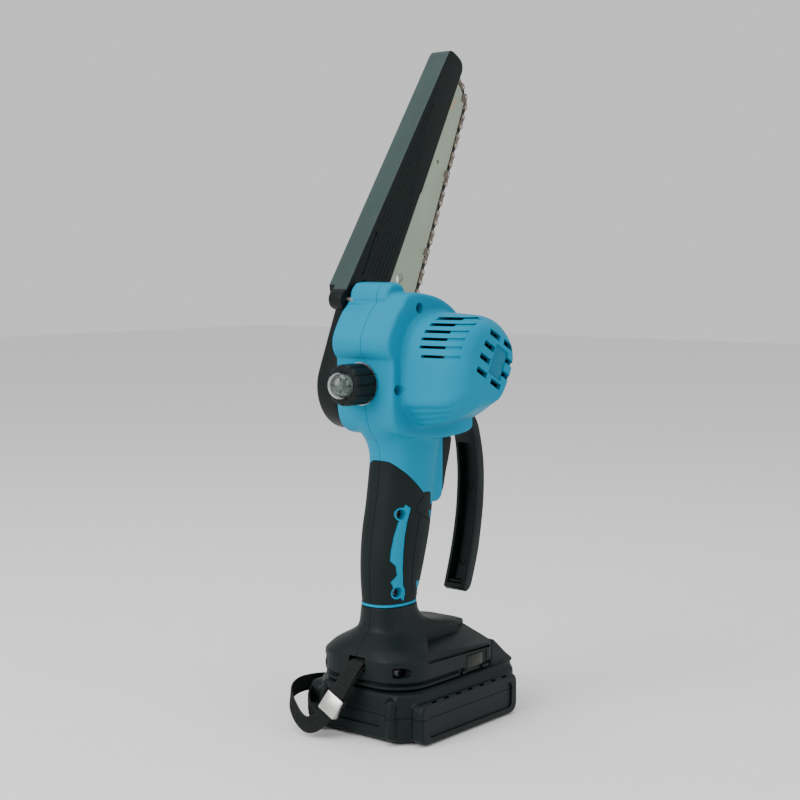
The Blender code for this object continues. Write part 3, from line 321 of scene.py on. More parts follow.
def copy_of(source, name):
    made = bpy.data.objects.new(name, source.data.copy())
    bpy.context.scene.collection.objects.link(made)
    return made


def bevel(target, width, segments=3, angle=40.0):
    """Round the edges sharper than the angle."""
    modifier = target.modifiers.new("bevel", "BEVEL")
    modifier.width = width
    modifier.segments = segments
    modifier.limit_method = "ANGLE"
    modifier.angle_limit = math.radians(angle)
    return evaluate(target)


def soften(target, voxel, passes, zone=None, zone_passes=0):
    """Blend joined shapes into one moulded skin, more strongly where the zone says so."""
    remesh = target.modifiers.new("skin", "REMESH")
    remesh.mode = "VOXEL"
    remesh.voxel_size = voxel
    evaluate(target)
    if zone:
        group = target.vertex_groups.new(name="zone")
        for vertex in target.data.vertices:
            weight = zone(vertex.co)
            if weight > 0.0:
                group.add([vertex.index], min(1.0, weight), "REPLACE")
        blend = target.modifiers.new("blend", "SMOOTH")
        blend.factor = 0.5
        blend.iterations = zone_passes
        blend.vertex_group = "zone"
    smooth = target.modifiers.new("smooth", "SMOOTH")
    smooth.factor = 0.5
    smooth.iterations = passes
    return evaluate(target)


def halves(source, names, gap=SEAM):
    """The two sides of a moulding, split at the seam plane."""
    reach = 0.25
    made = []
    for name, side in zip(names, (1, -1)):
        low = (-reach, min(side * gap / 2, side * reach), -reach)
        high = (reach, max(side * gap / 2, side * reach), 2 * reach)
        made.append(keep(copy_of(source, name), block("side", low, high)))
    bpy.data.objects.remove(source, do_unlink=True)
    return made


def curve_through(points, steps=6, closed=False):
    """Catmull-Rom curve through points of any dimension."""
    data = np.array(points, float)
    count = len(data)
    result = []
    for i in range(count if closed else count - 1):
        if closed:
            a, b, c, d = (data[(i + k) % count] for k in (-1, 0, 1, 2))
        else:
            a, b, c, d = (data[max(0, min(count - 1, i + k))] for k in (-1, 0, 1, 2))
        for step in range(steps):
            t = step / steps
            result.append(0.5 * (2 * b + (c - a) * t + (2 * a - 5 * b + 4 * c - d) * t ** 2
                                 + (3 * b - a - 3 * c + d) * t ** 3))
    if not closed:
        result.append(data[-1])
    return [tuple(point) for point in result]


def wrap(circles, count=64):
    """Outline of a belt round circles given as (x, z, radius)."""
    points = []
    for x, z, radius in circles:
        points += circle((x, z), radius, count)
    points = sorted(set((round(x, 7), round(z, 7)) for x, z in points))

    def side(ordered):
        hull = []
        for point in ordered:
            while len(hull) > 1 and turn_of(hull[-2], hull[-1], point) <= 0:
                hull.pop()
            hull.append(point)
        return hull[:-1]

    return side(points) + side(points[::-1])


def turn_of(a, b, c):
    """Positive where the path a, b, c turns to the left."""
    return (b[0] - a[0]) * (c[1] - a[1]) - (b[1] - a[1]) * (c[0] - a[0])


def on_bar(along, across):
    """x, z of a point given along the bar from the output axis, and across to +X."""
    return (SPROCKET[0] + along * math.sin(BAR_TILT) + across * math.cos(BAR_TILT),
            SPROCKET[1] + along * math.cos(BAR_TILT) - across * math.sin(BAR_TILT))


def finish(target, material, body, replaced=(), smooth=35.0):
    """Give the piece its material, shading and body, and hide what it stands for."""
    target.data.materials.clear()
    target.data.materials.append(material)
    target.data.shade_smooth()
    target.data.set_sharp_from_angle(angle=math.radians(smooth))
    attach(target, body)
    if replaced:
        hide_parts(*replaced)
    return target


# ---------------------------------------------------------------- wrist strap
STRAP_ROUTE = [
    ((-0.0535, -0.0012, 0.0446), (0.0, 1.0, 0.0)),
    ((-0.0588, -0.0010, 0.0430), (0.0, 1.0, 0.1)),
    ((-0.0632, 0.0020, 0.0350), (0.0, 0.95, 0.3)),
    ((-0.0663, 0.0052, 0.0270), (0.0, 0.92, 0.38)),
    ((-0.0686, 0.0082, 0.0202), (0.0, 0.90, 0.42)),
    ((-0.0707, 0.0120, 0.0138), (0.0, 0.85, 0.55)),
    ((-0.0726, 0.0165, 0.0092), (0.05, 0.62, 0.80)),
    ((-0.0732, 0.0225, 0.0070), (0.05, 0.20, 0.98)),
    ((-0.0716, 0.0290, 0.0078), (0.0, -0.15, 0.98)),
    ((-0.0688, 0.0360, 0.0110), (-0.05, -0.35, 0.93)),
    ((-0.0645, 0.0430, 0.0155), (-0.15, -0.35, 0.92)),
    ((-0.0580, 0.0478, 0.0190), (-0.2, -0.15, 0.96)),
    ((-0.0490, 0.0495, 0.0205), (-0.1, 0.0, 0.99)),
    ((-0.0380, 0.0493, 0.0200), (0.05, 0.0, 0.99)),
    ((-0.0270, 0.0485, 0.0185), (0.1, 0.0, 0.99)),
    ((-0.0190, 0.0476, 0.0175), (0.1, 0.0, 0.99)),
    ((-0.0158, 0.0450, 0.0170), (0.0, 0.0, 1.0)),
    ((-0.0185, 0.0424, 0.0170), (0.0, 0.0, 1.0)),
    ((-0.0270, 0.0416, 0.0172), (0.0, 0.0, 1.0)),
    ((-0.0370, 0.0418, 0.0178), (0.0, 0.0, 1.0)),
    ((-0.0465, 0.0410, 0.0175), (-0.1, 0.0, 0.99)),
    ((-0.0545, 0.0380, 0.0150), (-0.1, -0.05, 0.99)),
    ((-0.0608, 0.0318, 0.0122), (0.0, 0.0, 0.99)),
    ((-0.0655, 0.0245, 0.0102), (0.0, 0.10, 0.99)),
    ((-0.0684, 0.0175, 0.0104), (0.0, 0.60, 0.80)),
    ((-0.0690, 0.0122, 0.0133), (0.0, 0.87, 0.50)),
    ((-0.0669, 0.0084, 0.0198), (0.0, 0.90, 0.42)),
    ((-0.0647, 0.0052, 0.0266), (0.0, 0.92, 0.38)),
    ((-0.0616, 0.0020, 0.0342), (0.0, 0.95, 0.3)),
    ((-0.0574, -0.0010, 0.0408), (0.0, 1.0, 0.1)),
    ((-0.0535, -0.0012, 0.0416), (0.0, 1.0, 0.0)),
]
FERRULE_AT = 4
WEBBING_HALF = 0.0048


def strap_line(steps):
    """The webbing's middle line and width direction, closely spaced."""
    both = [place + width for place, width in STRAP_ROUTE]
    return [(Vector(p[:3]), Vector(p[3:])) for p in curve_through(both, steps)]


def across_of(line, i):
    """Width direction and thickness direction at one point of the line."""
    ahead = (line[min(i + 1, len(line) - 1)][0] - line[max(i - 1, 0)][0]).normalized()
    width = line[i][1]
    across = (width - ahead * width.dot(ahead)).normalized()
    return across, ahead.cross(across)


def add_strap(materials):
    """Ribbed webbing: each rib crosses the band, and the selvedges are a little thinner."""
    line = strap_line(18)
    rings = []
    travelled = 0.0
    for i, (point, width) in enumerate(line):
        if i:
            travelled += (point - line[i - 1][0]).length
        across, normal = across_of(line, i)
        rib = 0.00046 + 0.00034 * math.sin(2 * math.pi * travelled / 0.0018)
        ring = []
        for share, thick in ((1.0, 0.25), (0.94, 0.8), (0.5, 1.0), (0.0, 1.0), (-0.5, 1.0),
                             (-0.94, 0.8), (-1.0, 0.25)):
            ring.append(point + across * WEBBING_HALF * share + normal * rib * thick)
        for share, thick in ((-1.0, 0.25), (-0.94, 0.8), (-0.5, 1.0), (0.0, 1.0), (0.5, 1.0),
                             (0.94, 0.8), (1.0, 0.25)):
            ring.append(point + across * WEBBING_HALF * share - normal * rib * thick)
        rings.append([tuple(p) for p in ring])
    strap = loft("webbing_strap", rings)
    finish(strap, materials["webbing"], "housing", ("wrist_strap",), 60.0)

    front = Vector(STRAP_ROUTE[FERRULE_AT][0])
    back = Vector(STRAP_ROUTE[-1 - FERRULE_AT][0])
    ahead = Vector(STRAP_ROUTE[FERRULE_AT + 1][0]) - Vector(STRAP_ROUTE[FERRULE_AT - 1][0])
    ahead.normalize()
    width = Vector(STRAP_ROUTE[FERRULE_AT][1])
    across = (width - ahead * width.dot(ahead)).normalized()
    normal = ahead.cross(across)
    middle = (front + back) / 2
    shells = []
    for half_wide, half_thick, half_long in ((0.0063, 0.0027, 0.0060), (0.0055, 0.0020, 0.0090)):
        ends = [[tuple(middle + ahead * end * half_long + across * half_wide * a
                       + normal * half_thick * b) for a, b in ((1, 1), (-1, 1), (-1, -1), (1, -1))]
                for end in (-1, 1)]
        shells.append(loft("crimp_sleeve", ends))
    sleeve = cut(bevel(shells[0], 0.0009, 4), shells[1])
    bevel(sleeve, 0.00012, 2)
    finish(sleeve, materials["bright"], "housing", ("strap_ferrule",))


# ---------------------------------------------------------------- blue housing
# height, middle in X, half depth in X, half width in Y, squareness
HANDLE = [
    (0.0733, -0.0274, 0.0170, 0.0133, 2.3), (0.0750, -0.0273, 0.0171, 0.0134, 2.3),
    (0.0870, -0.0259, 0.0190, 0.0148, 2.3), (0.1000, -0.0239, 0.0207, 0.0158, 2.3),
    (0.1150, -0.0211, 0.0215, 0.0162, 2.4), (0.1300, -0.0182, 0.0214, 0.0160, 2.4),
    (0.1450, -0.0158, 0.0212, 0.0161, 2.4), (0.1570, -0.0140, 0.0214, 0.0166, 2.4),
    (0.1660, -0.0140, 0.0236, 0.0174, 2.5), (0.1730, -0.0150, 0.0285, 0.0183, 2.6),
    (0.1800, -0.0150, 0.0322, 0.0190, 2.8),
]
# side outline of the head, counter-clockwise from the back of its underside
HEAD = [
    (-0.0470, 0.1815), (-0.0440, 0.1760), (-0.0360, 0.1715), (-0.0100, 0.1680),
    (0.0100, 0.1680), (0.0262, 0.1705), (0.0272, 0.1780), (0.0272, 0.1960),
    (0.0258, 0.2140), (0.0205, 0.2290), (0.0105, 0.2410), (-0.0040, 0.2485),
    (-0.0190, 0.2515), (-0.0300, 0.2520), (-0.0360, 0.2500), (-0.0392, 0.2455),
    (-0.0440, 0.2410), (-0.0490, 0.2335), (-0.0523, 0.2265), (-0.0522, 0.2200),
    (-0.0500, 0.2160), (-0.0484, 0.2125), (-0.0484, 0.1900),
]
RUBBER_EDGE = [
    (-0.0600, 0.0748), (0.0100, 0.0748), (0.0100, 0.1290), (-0.0050, 0.1290),
    (-0.0074, 0.1300), (-0.0077, 0.1362), (-0.0090, 0.1371), (-0.0160, 0.1376),
    (-0.0180, 0.1396), (-0.0202, 0.1416), (-0.0259, 0.1470), (-0.0317, 0.1525),
    (-0.0348, 0.1561), (-0.0380, 0.1576), (-0.0600, 0.1590),
]
# each step of the motor cup's nested underside: back edge, underside
CUP_STEPS = [(-0.0410, 0.1872), (-0.0374, 0.1834), (-0.0338, 0.1799), (-0.0300, 0.1765)]


def handle(name, shrink, tail=0.0, count=72):
    """The handle's tapered column, drawn in by a distance."""
    rows = curve_through(HANDLE, 4)
    if tail:
        rows = [(HANDLE[0][0] - tail, *HANDLE[0][1:])] + rows
    rings = []
    for z, middle, deep, wide, power in rows:
        ring = []
        for i in range(count):
            turn = 2 * math.pi * (i + 0.5) / count
            c = math.cos(turn)
            s = math.sin(turn)
            ring.append((middle + (deep - shrink) * math.copysign(abs(c) ** (2 / power), c),
                         (wide - shrink) * math.copysign(abs(s) ** (2 / power), s), z))
        rings.append(ring)
    return loft(name, rings)


def cup_outline(left, under):
    """Section of the motor cup near the head: domed above, flat behind and below."""
    middle_x, middle_z = MOTOR
    ring = []
    for i in range(33):
        turn = math.pi * i / 32
        c = math.cos(turn)
        s = math.sin(turn)
        reach = 0.0300 if c > 0 else middle_x - left
        ring.append((middle_x + reach * math.copysign(abs(c) ** (2 / 2.4), c),
                     middle_z + 0.0305 * abs(s) ** (2 / 2.4)))
    for x, radius, start in ((left, 0.0050, 180), (0.0200, 0.0130, 270)):
        centre = (x + (radius if x == left else -radius), under + radius)
        for i in range(9):
            turn = math.radians(start + 90 * i / 8)
            ring.append((centre[0] + radius * math.cos(turn), centre[1] + radius * math.sin(turn)))
    return ring


def reach_of(outline, direction):
    """Distance from the motor axis to the outline in one direction."""
    ahead = Vector((math.cos(direction), math.sin(direction)))
    best = 0.0
    for first, second in zip(outline, outline[1:] + outline[:1]):
        a = Vector(first) - Vector(MOTOR)
        step = Vector(second) - Vector(first)
        across = ahead.x * step.y - ahead.y * step.x
        if abs(across) < 1e-9:
            continue
        reach = (a.x * step.y - a.y * step.x) / across
        share = (a.x * ahead.y - a.y * ahead.x) / across
        if -1e-6 <= share <= 1 + 1e-6 and reach > best:
            best = reach
    return best


def motor_cup(name, left, under, shrink=0.0):
    """Cup over the motor: it runs into a square end face that leans with the bar."""
    outline = cup_outline(left, under)
    layer = (under - 0.1765) / 0.0107
    count = 120
    depths = [0.014, 0.026, 0.031, 0.036, 0.040, 0.044, 0.047, 0.050, 0.0525, 0.0545, 0.0562,
              0.0576, 0.0587, 0.0595, 0.0600]
    rings = []
    for depth in depths:
        depth = min(depth, CUP_END - shrink)
        ring = []
        for i in range(count):
            turn = 2 * math.pi * i / count
            base = reach_of(outline, turn) - 0.055 * (depth - 0.014)
            lean = turn + BAR_TILT
            square = 0.0168 / (abs(math.cos(lean)) ** 3.4 + abs(math.sin(lean)) ** 3.4) ** (1 / 3.4)
            square -= 0.0030 * layer * max(0.0, math.cos(turn - math.radians(245)))
            low = max(0.0, math.cos(turn - math.radians(300))) ** 1.5
            t = max(0.0, (depth - 0.0450) / 0.0150)
            round_off = 1 - math.sqrt(max(0.0, 1 - t * t))
            slope = max(0.0, (depth - 0.0260) / 0.0340) ** 1.4
            share = round_off * (1 - low) + slope * low
            reach = base * (1 - share) + min(square, base) * share - shrink
            ring.append((MOTOR[0] + reach * math.cos(turn), -depth,
                         MOTOR[1] + reach * math.sin(turn)))
        rings.append(ring)
    return loft(name, rings)


def side_vents():
    """Six slots in the cup's back: open for most of their length, then shallow grooves."""
    rows = [(0.2174, -0.0330, -0.0300), (0.2225, -0.0312, -0.0300), (0.2269, -0.0312, -0.0270),
            (0.2309, -0.0315, -0.0230), (0.2346, -0.0325, -0.0170), (0.2378, -0.0330, -0.0110)]
    deep = []
    shallow = []
    for z, start, reach in rows:
        deep.append(block("vent", (-0.0600, -0.0475, z - 0.0008), (reach, start, z + 0.0008)))
        shallow.append(block("vent", (-0.0600, -0.0560, z - 0.0008), (reach, start, z + 0.0008)))
    grooves = merge("side vent grooves", shallow)
    cut(grooves, motor_cup("groove floor", -0.0410, 0.1872, 0.0009))
    return merge("side vents", deep), grooves


def on_end(across, along):
    """x, z on the cup's end face, measured from its plate and leaning with the bar."""
    return (CUP_PLATE[0] + along * math.sin(BAR_TILT) + across * math.cos(BAR_TILT),
            CUP_PLATE[1] + along * math.cos(BAR_TILT) - across * math.sin(BAR_TILT))


def end_vents():
    """Eight slots round the plate on the cup's end face."""
    cutters = []
    for across, along in ((-0.0098, 0.0124), (0.0044, 0.0128), (-0.0120, 0.0046), (0.0112, 0.0046),
                          (-0.0126, -0.0032), (0.0110, -0.0036), (-0.0118, -0.0112),
                          (0.0030, -0.0118)):
        x, z = on_end(across, along)
        slot = block("end vent", (-0.0050, -0.0700, -0.0017), (0.0050, -0.0520, 0.0017))
        slot.data.transform(Matrix.Translation((x, 0, z)) @ Matrix.Rotation(BAR_TILT, 4, "Y"))
        cutters.append(slot)
    return merge("end vents", cutters)


def label_recess(low, high, half_across, half_along):
    """A plate-shaped block on the cup's end face; nothing is written on it."""
    panel = block("label", (-half_across, low, -half_along), (half_across, high, half_along))
    bevel(panel, 0.0008, 2)
    panel.data.transform(Matrix.Translation((CUP_PLATE[0], 0, CUP_PLATE[1]))
                         @ Matrix.Rotation(BAR_TILT, 4, "Y"))
    return panel


def add_housing(materials):
    """Blue clamshell: head, crest, trigger zone, column and motor cup in one skin."""
    crest = [(-0.0205, 0.2420), (-0.0205, 0.2520), (-0.0235, 0.2562), (-0.0280, 0.2578),
             (-0.0335, 0.2572), (-0.0372, 0.2535), (-0.0385, 0.2485), (-0.0370, 0.2420)]
    zone = [(-0.0160, 0.1370), (-0.0020, 0.1288), (0.0062, 0.1290), (0.0100, 0.1315),
            (0.0106, 0.1400), (0.0106, 0.1700), (-0.0160, 0.1720)]
    pieces = [bevel(prism("head", curve_through(HEAD, 3, True), -0.0200, 0.0218), 0.0030, 3, 50.0),
              bevel(prism("crest", crest, -0.0075, 0.0207), 0.0022, 3),
              bevel(prism("trigger zone", zone, -0.0112, 0.0112), 0.0030, 3),
              handle("column", 0.0)]
    pieces += [motor_cup("cup", left, under) for left, under in CUP_STEPS]
    shell = soften(merge("housing_skin", pieces), SKIN_VOXEL, 5,
                   lambda p: 1.0 - abs(p.y + 0.0205) / 0.0060, 30)

    cut(shell, motor_cup("motor room", -0.0410, 0.1872, 0.0026))
    deep, grooves = side_vents()
    cut(shell, deep)
    cut(shell, grooves)
    cut(shell, end_vents())
    cut(shell, label_recess(-0.0700, -0.0590, 0.0064, 0.0088))
    edge = [(x - 0.00015, z) if x < 0 else (x + 0.00015, z) for x, z in RUBBER_EDGE]
    cut(shell, prism("rubber zone", edge, -0.03, 0.03))
    cut(shell, block("hinge notch", (-0.0600, 0.0090, 0.2450), (-0.0386, 0.0300, 0.2600)))
    for x, z in HEAD_SCREWS:
        cut(shell, turned("pocket", (x, -0.0200, z), "Y",
                          [(-0.0040, 0.0034), (-0.0002, 0.0033), (0.0006, 0.0029),
                           (0.0060, 0.0029)]))
    slot = block("trigger slot", (-0.0100, -0.0060, 0.1328), (0.0200, 0.0060, 0.1668))
    cut(shell, slot)
    cut(shell, rod("lock hole", (-0.0080, 0.0, 0.1500), "Y", 0.0070, 0.0220, 0.0047))
    left, right = halves(shell, ("housing_shell_left", "housing_shell_right"))
    finish(left, materials["blue"], "housing", ("housing_left",), 38.0)
    finish(right, materials["blue"], "housing", ("housing_right",), 38.0)

    panel = label_recess(-0.0594, -0.0586, 0.0062, 0.0086)
    panel.name = "blank_label"
    finish(panel, materials["label_blue"], "housing", ())
    ring = handle("grip_ring", -0.0003)
    keep(ring, block("slice", (-0.06, -0.03, 0.0733), (0.01, 0.03, 0.0747)))
    finish(bevel(ring, 0.0004, 2), materials["blue"], "housing", ())


# ---------------------------------------------------------------- grip
ACCENT_BACK = [(-0.0375, 0.0834), (-0.0396, 0.0881), (-0.0364, 0.0917), (-0.0372, 0.0973),
               (-0.0399, 0.1004), (-0.0394, 0.1057), (-0.0377, 0.1139), (-0.0349, 0.1219)]
ACCENT_FRONT = [(-0.0308, 0.1305), (-0.0297, 0.1318), (-0.0261, 0.1294), (-0.0275, 0.1257),
                (-0.0293, 0.1215), (-0.0312, 0.1140), (-0.0323, 0.1051), (-0.0327, 0.0955),
                (-0.0317, 0.0856), (-0.0301, 0.0828), (-0.0296, 0.0800), (-0.0302, 0.0759),
                (-0.0321, 0.0772)]
FRONT_MARKS = [[(-0.0092, 0.1262), (-0.0030, 0.1250), (-0.0030, 0.1185), (-0.0072, 0.1180),
                (-0.0060, 0.1205), (-0.0082, 0.1225)],
               [(-0.0200, 0.0862), (-0.0120, 0.0850), (-0.0120, 0.0780), (-0.0170, 0.0775),
                (-0.0162, 0.0800), (-0.0186, 0.0822)]]
PANEL_LINES = [[(-0.0150, 0.1352), (-0.0216, 0.1296), (-0.0187, 0.1253), (-0.0080, 0.1195)],
               [(-0.0187, 0.1253), (-0.0214, 0.1166), (-0.0237, 0.1072), (-0.0248, 0.0976),
                (-0.0248, 0.0878), (-0.0215, 0.0775)]]


def grown(outline, distance):
    """A counter-clockwise or clockwise outline moved outward."""
    area = sum(a[0] * b[1] - b[0] * a[1] for a, b in zip(outline, outline[1:] + outline[:1]))
    side = 1.0 if area > 0 else -1.0
    made = []
    for i, point in enumerate(outline):
        before = Vector(outline[i - 1])
        after = Vector(outline[(i + 1) % len(outline)])
        here = Vector(point)
        first = (here - before).normalized()
        second = (after - here).normalized()
        out = (Vector((first.y, -first.x)) + Vector((second.y, -second.x))).normalized() * side
        stretch = max(0.6, out.dot(Vector((first.y, -first.x)) * side))
        made.append(tuple(here + out * distance / stretch))
    return made


def accent_area(distance):
    """The coloured band, its two screw rings and the marks at the front, as one cutter."""
    band = ACCENT_FRONT[::-1] + [(-0.0340, 0.1225)] + ACCENT_BACK[::-1]
    pieces = [prism("band", grown(band, distance), -0.0300, -0.0030)]
    for x, z in GRIP_SCREWS:
        pieces.append(prism("screw ring", circle((x, z), 0.0040 + distance), -0.0300, -0.0030))
    area = pieces[0]
    join(area, *pieces[1:])
    for mark in FRONT_MARKS:
        join(area, prism("mark", grown(mark, distance), -0.0300, -0.0030))
    return area


def strip(points, half_width):
    """Outline of a narrow band along a line of (x, z) points."""
    left = []
    right = []
    for i, point in enumerate(points):
        ahead = Vector(points[min(i + 1, len(points) - 1)]) - Vector(points[max(i - 1, 0)])
        ahead.normalize()
        side = Vector((-ahead.y, ahead.x)) * half_width
        left.append(tuple(Vector(point) + side))
        right.append(tuple(Vector(point) - side))
    return left + right[::-1]


def add_grip(materials):
    """Rubber over-mould with its panel lines, coloured band and screw rings."""
    sleeve = handle("rubber", 0.0, 0.0, 96)
    keep(sleeve, prism("zone", RUBBER_EDGE, -0.03, 0.03))
    cut(sleeve, handle("core room", RUBBER, 0.005))
    for line in PANEL_LINES:
        groove = prism("groove", strip(curve_through(line, 5), 0.00022), -0.0300, -0.0020)
        cut(groove, handle("groove floor", 0.0004, 0.005))
        cut(sleeve, groove)
    left, right = halves(sleeve, ("grip_rubber_left", "grip_rubber_right"))
    cut(right, accent_area(0.00012))
    for name, piece in (("grip_left", left), ("grip_right", right)):
        finish(bevel(piece, 0.00018, 1, 50.0), materials["rubber"], "housing", (name,),
               30.0)

    accent = accent_area(0.0)
    keep(accent, handle("accent skin", 0.0003, 0.0, 96))
    cut(accent, handle("accent floor", RUBBER - 0.0002, 0.005))
    for x, z in GRIP_SCREWS:
        cut(accent, rod("pocket", (x, 0.0, z), "Y", -0.0300, -0.0030, 0.0030))
    accent.name = "grip_accent"
    finish(bevel(accent, 0.0002, 1, 50.0), materials["blue"], "housing", (), 30.0)
    core = handle("grip_core", RUBBER + 0.0003, 0.0)
    keep(core, block("slice", (-0.06, -0.03, 0.0740), (0.02, 0.03, 0.1700)))
    for x, z in GRIP_SCREWS:
        cut(core, rod("pocket", (x, 0.0, z), "Y", -0.0300, -0.0088, 0.0030))
    finish(core, materials["blue"], "housing", (), 30.0)


# ---------------------------------------------------------------- foot
# height, back, front, half width, back corner, front corner
FOOT = [
    (0.0330, -0.0545, 0.0262, 0.0335, 0.0205, 0.0040),
    (0.0345, -0.0566, 0.0268, 0.0350, 0.0218, 0.0040),
    (0.0362, -0.0571, 0.0270, 0.0353, 0.0220, 0.0040),
    (0.0450, -0.0572, 0.0270, 0.0352, 0.0220, 0.0040),
    (0.0470, -0.0568, 0.0269, 0.0342, 0.0218, 0.0050),
    (0.0510, -0.0545, 0.0266, 0.0300, 0.0210, 0.0080),
    (0.0536, -0.0520, 0.0265, 0.0258, 0.0195, 0.0095),
    (0.0560, -0.0497, 0.0258, 0.0212, 0.0178, 0.0115),
    (0.0577, -0.0478, 0.0205, 0.0186, 0.0162, 0.0128),
    (0.0594, -0.0460, 0.0072, 0.0166, 0.0148, 0.0130),
    (0.0625, -0.0450, -0.0040, 0.0148, 0.0130, 0.0120),
    (0.0680, -0.0446, -0.0095, 0.0136, 0.0120, 0.0115),
    (0.0729, -0.0443, -0.0106, 0.0133, 0.0120, 0.0115),
]


def rounded(z, back, front, half_width, back_corner, front_corner, steps=8):
    """A rectangle ring with round corners, seen from above."""
    corners = [(front - front_corner, half_width - front_corner, front_corner, 0),
               (back + back_corner, half_width - back_corner, back_corner, 1),
               (back + back_corner, -half_width + back_corner, back_corner, 2),
               (front - front_corner, -half_width + front_corner, front_corner, 3)]
    ring = []
    for x, y, radius, quarter in corners:
        for step in range(steps + 1):
            turn = math.pi / 2 * (quarter + step / steps)
            ring.append((x + radius * math.cos(turn), y + radius * math.sin(turn), z))
    return ring


def shoulder_cut(side):
    """Space above the stepped-down shoulder on one side of the foot."""
    plan = [(-0.0372, -0.0420, 0.0480), (-0.0345, -0.0352, 0.0482), (-0.0182, -0.0200, 0.0494),
            (0.0126, -0.0200, 0.0514), (0.0160, -0.0150, 0.0522), (0.0300, -0.0125, 0.0528),
            (0.0300, -0.0420, 0.0424)]
    low = [(x, y * -side, floor) for x, y, floor in plan]
    high = [(x, y * -side, 0.0700) for x, y, floor in plan]
    return loft("shoulder", [low, high])


def add_foot(materials):
    """Black foot: sloping skirt, stepped shoulders, lip, slots and window frame."""
    skin = soften(loft("foot", [rounded(*row) for row in curve_through(FOOT, 3)]),
                  SKIN_VOXEL, 4)
    for side in (-1, 1):
        cut(skin, shoulder_cut(side))
        eave = [(-0.0352, 0.0474), (0.0240, 0.0436), (0.0240, 0.0424), (-0.0352, 0.0438)]
        low, high = sorted((side * 0.0336, side * 0.0400))
        cut(skin, prism("eave shadow", eave, low, high))
    lip = loft("lip", [rounded(z, -0.0566 + inset, 0.0262 - inset, 0.0346 - inset, 0.0214, 0.0040)
                       for z, inset in ((0.0307, 0.0004), (0.0310, 0.0), (0.0324, 0.0),
                                        (0.0328, 0.0008), (0.0334, 0.0012))])
    skin = join(skin, lip)
    cut(skin, block("rail head room", (-0.0480, -0.0270, 0.0357), (0.0400, 0.0270, 0.0418)))
    cut(skin, block("rail neck room", (-0.0480, -0.0222, 0.0290), (0.0400, 0.0222, 0.0361)))
    cut(skin, block("strap slot", (-0.0600, -0.0068, 0.0390), (-0.0505, 0.0050, 0.0470)))
    for side in (-1, 1):
        low, high = sorted((side * 0.0242, side * 0.0420))
        ring = [(x * 1.90 - 0.0516, z + 0.0405) for x, z in circle((0.0, 0.0), 0.0030)]
        cut(skin, prism("screw hole", ring, low, high))
    frame_cut = bevel(block("window frame", (-0.0010, -0.0400, 0.0316), (0.0205, -0.0347, 0.0418)),
                      0.0008, 2)
    cut(skin, frame_cut)
    cut(skin, block("window seat", (0.0012, -0.0400, 0.0300), (0.0172, -0.0334, 0.0412)))
    cut(skin, block("notch", (-0.0050, -0.0400, 0.0310), (-0.0022, -0.0335, 0.0348)))
    left, right = halves(skin, ("foot_shell_left", "foot_shell_right"))
    finish(left, materials["black"], "housing", ("foot_left",), 38.0)
    finish(right, materials["black"], "housing", ("foot_right",), 38.0)


# ---------------------------------------------------------------- battery
def case_ring(z, shrink):
    """Battery outline at one height, with broad chamfers at the four corners."""
    ring = []
    for x, y in ((0.0553, 0.0384), (-0.0553, 0.0384), (-0.0553, -0.0384), (0.0553, -0.0384)):
        x -= math.copysign(shrink, x)
        y -= math.copysign(shrink, y)
        in_x = -math.copysign(0.0125, x)
        in_y = -math.copysign(0.0108, y)
        corner = [(x, y + in_y * 1.10), (x + in_x * 0.03, y + in_y * 0.94),
                  (x + in_x * 0.94, y + in_y * 0.03), (x + in_x * 1.10, y)]
        ring += corner if x * y > 0 else corner[::-1]
    return [(x, y, z) for x, y in ring]


def rounded_outline(low, high, radius, steps=5):
    """Rounded rectangle as (x, z) points."""
    ring = []
    for x, z, quarter in ((high[0], high[1], 0), (low[0], high[1], 1), (low[0], low[1], 2),
                          (high[0], low[1], 3)):
        cx = x - math.copysign(radius, x - (low[0] + high[0]) / 2)
        cz = z - math.copysign(radius, z - (low[1] + high[1]) / 2)
        for step in range(steps + 1):
            turn = math.pi / 2 * (quarter + step / steps)
            ring.append((cx + radius * math.cos(turn), cz + radius * math.sin(turn)))
    return ring


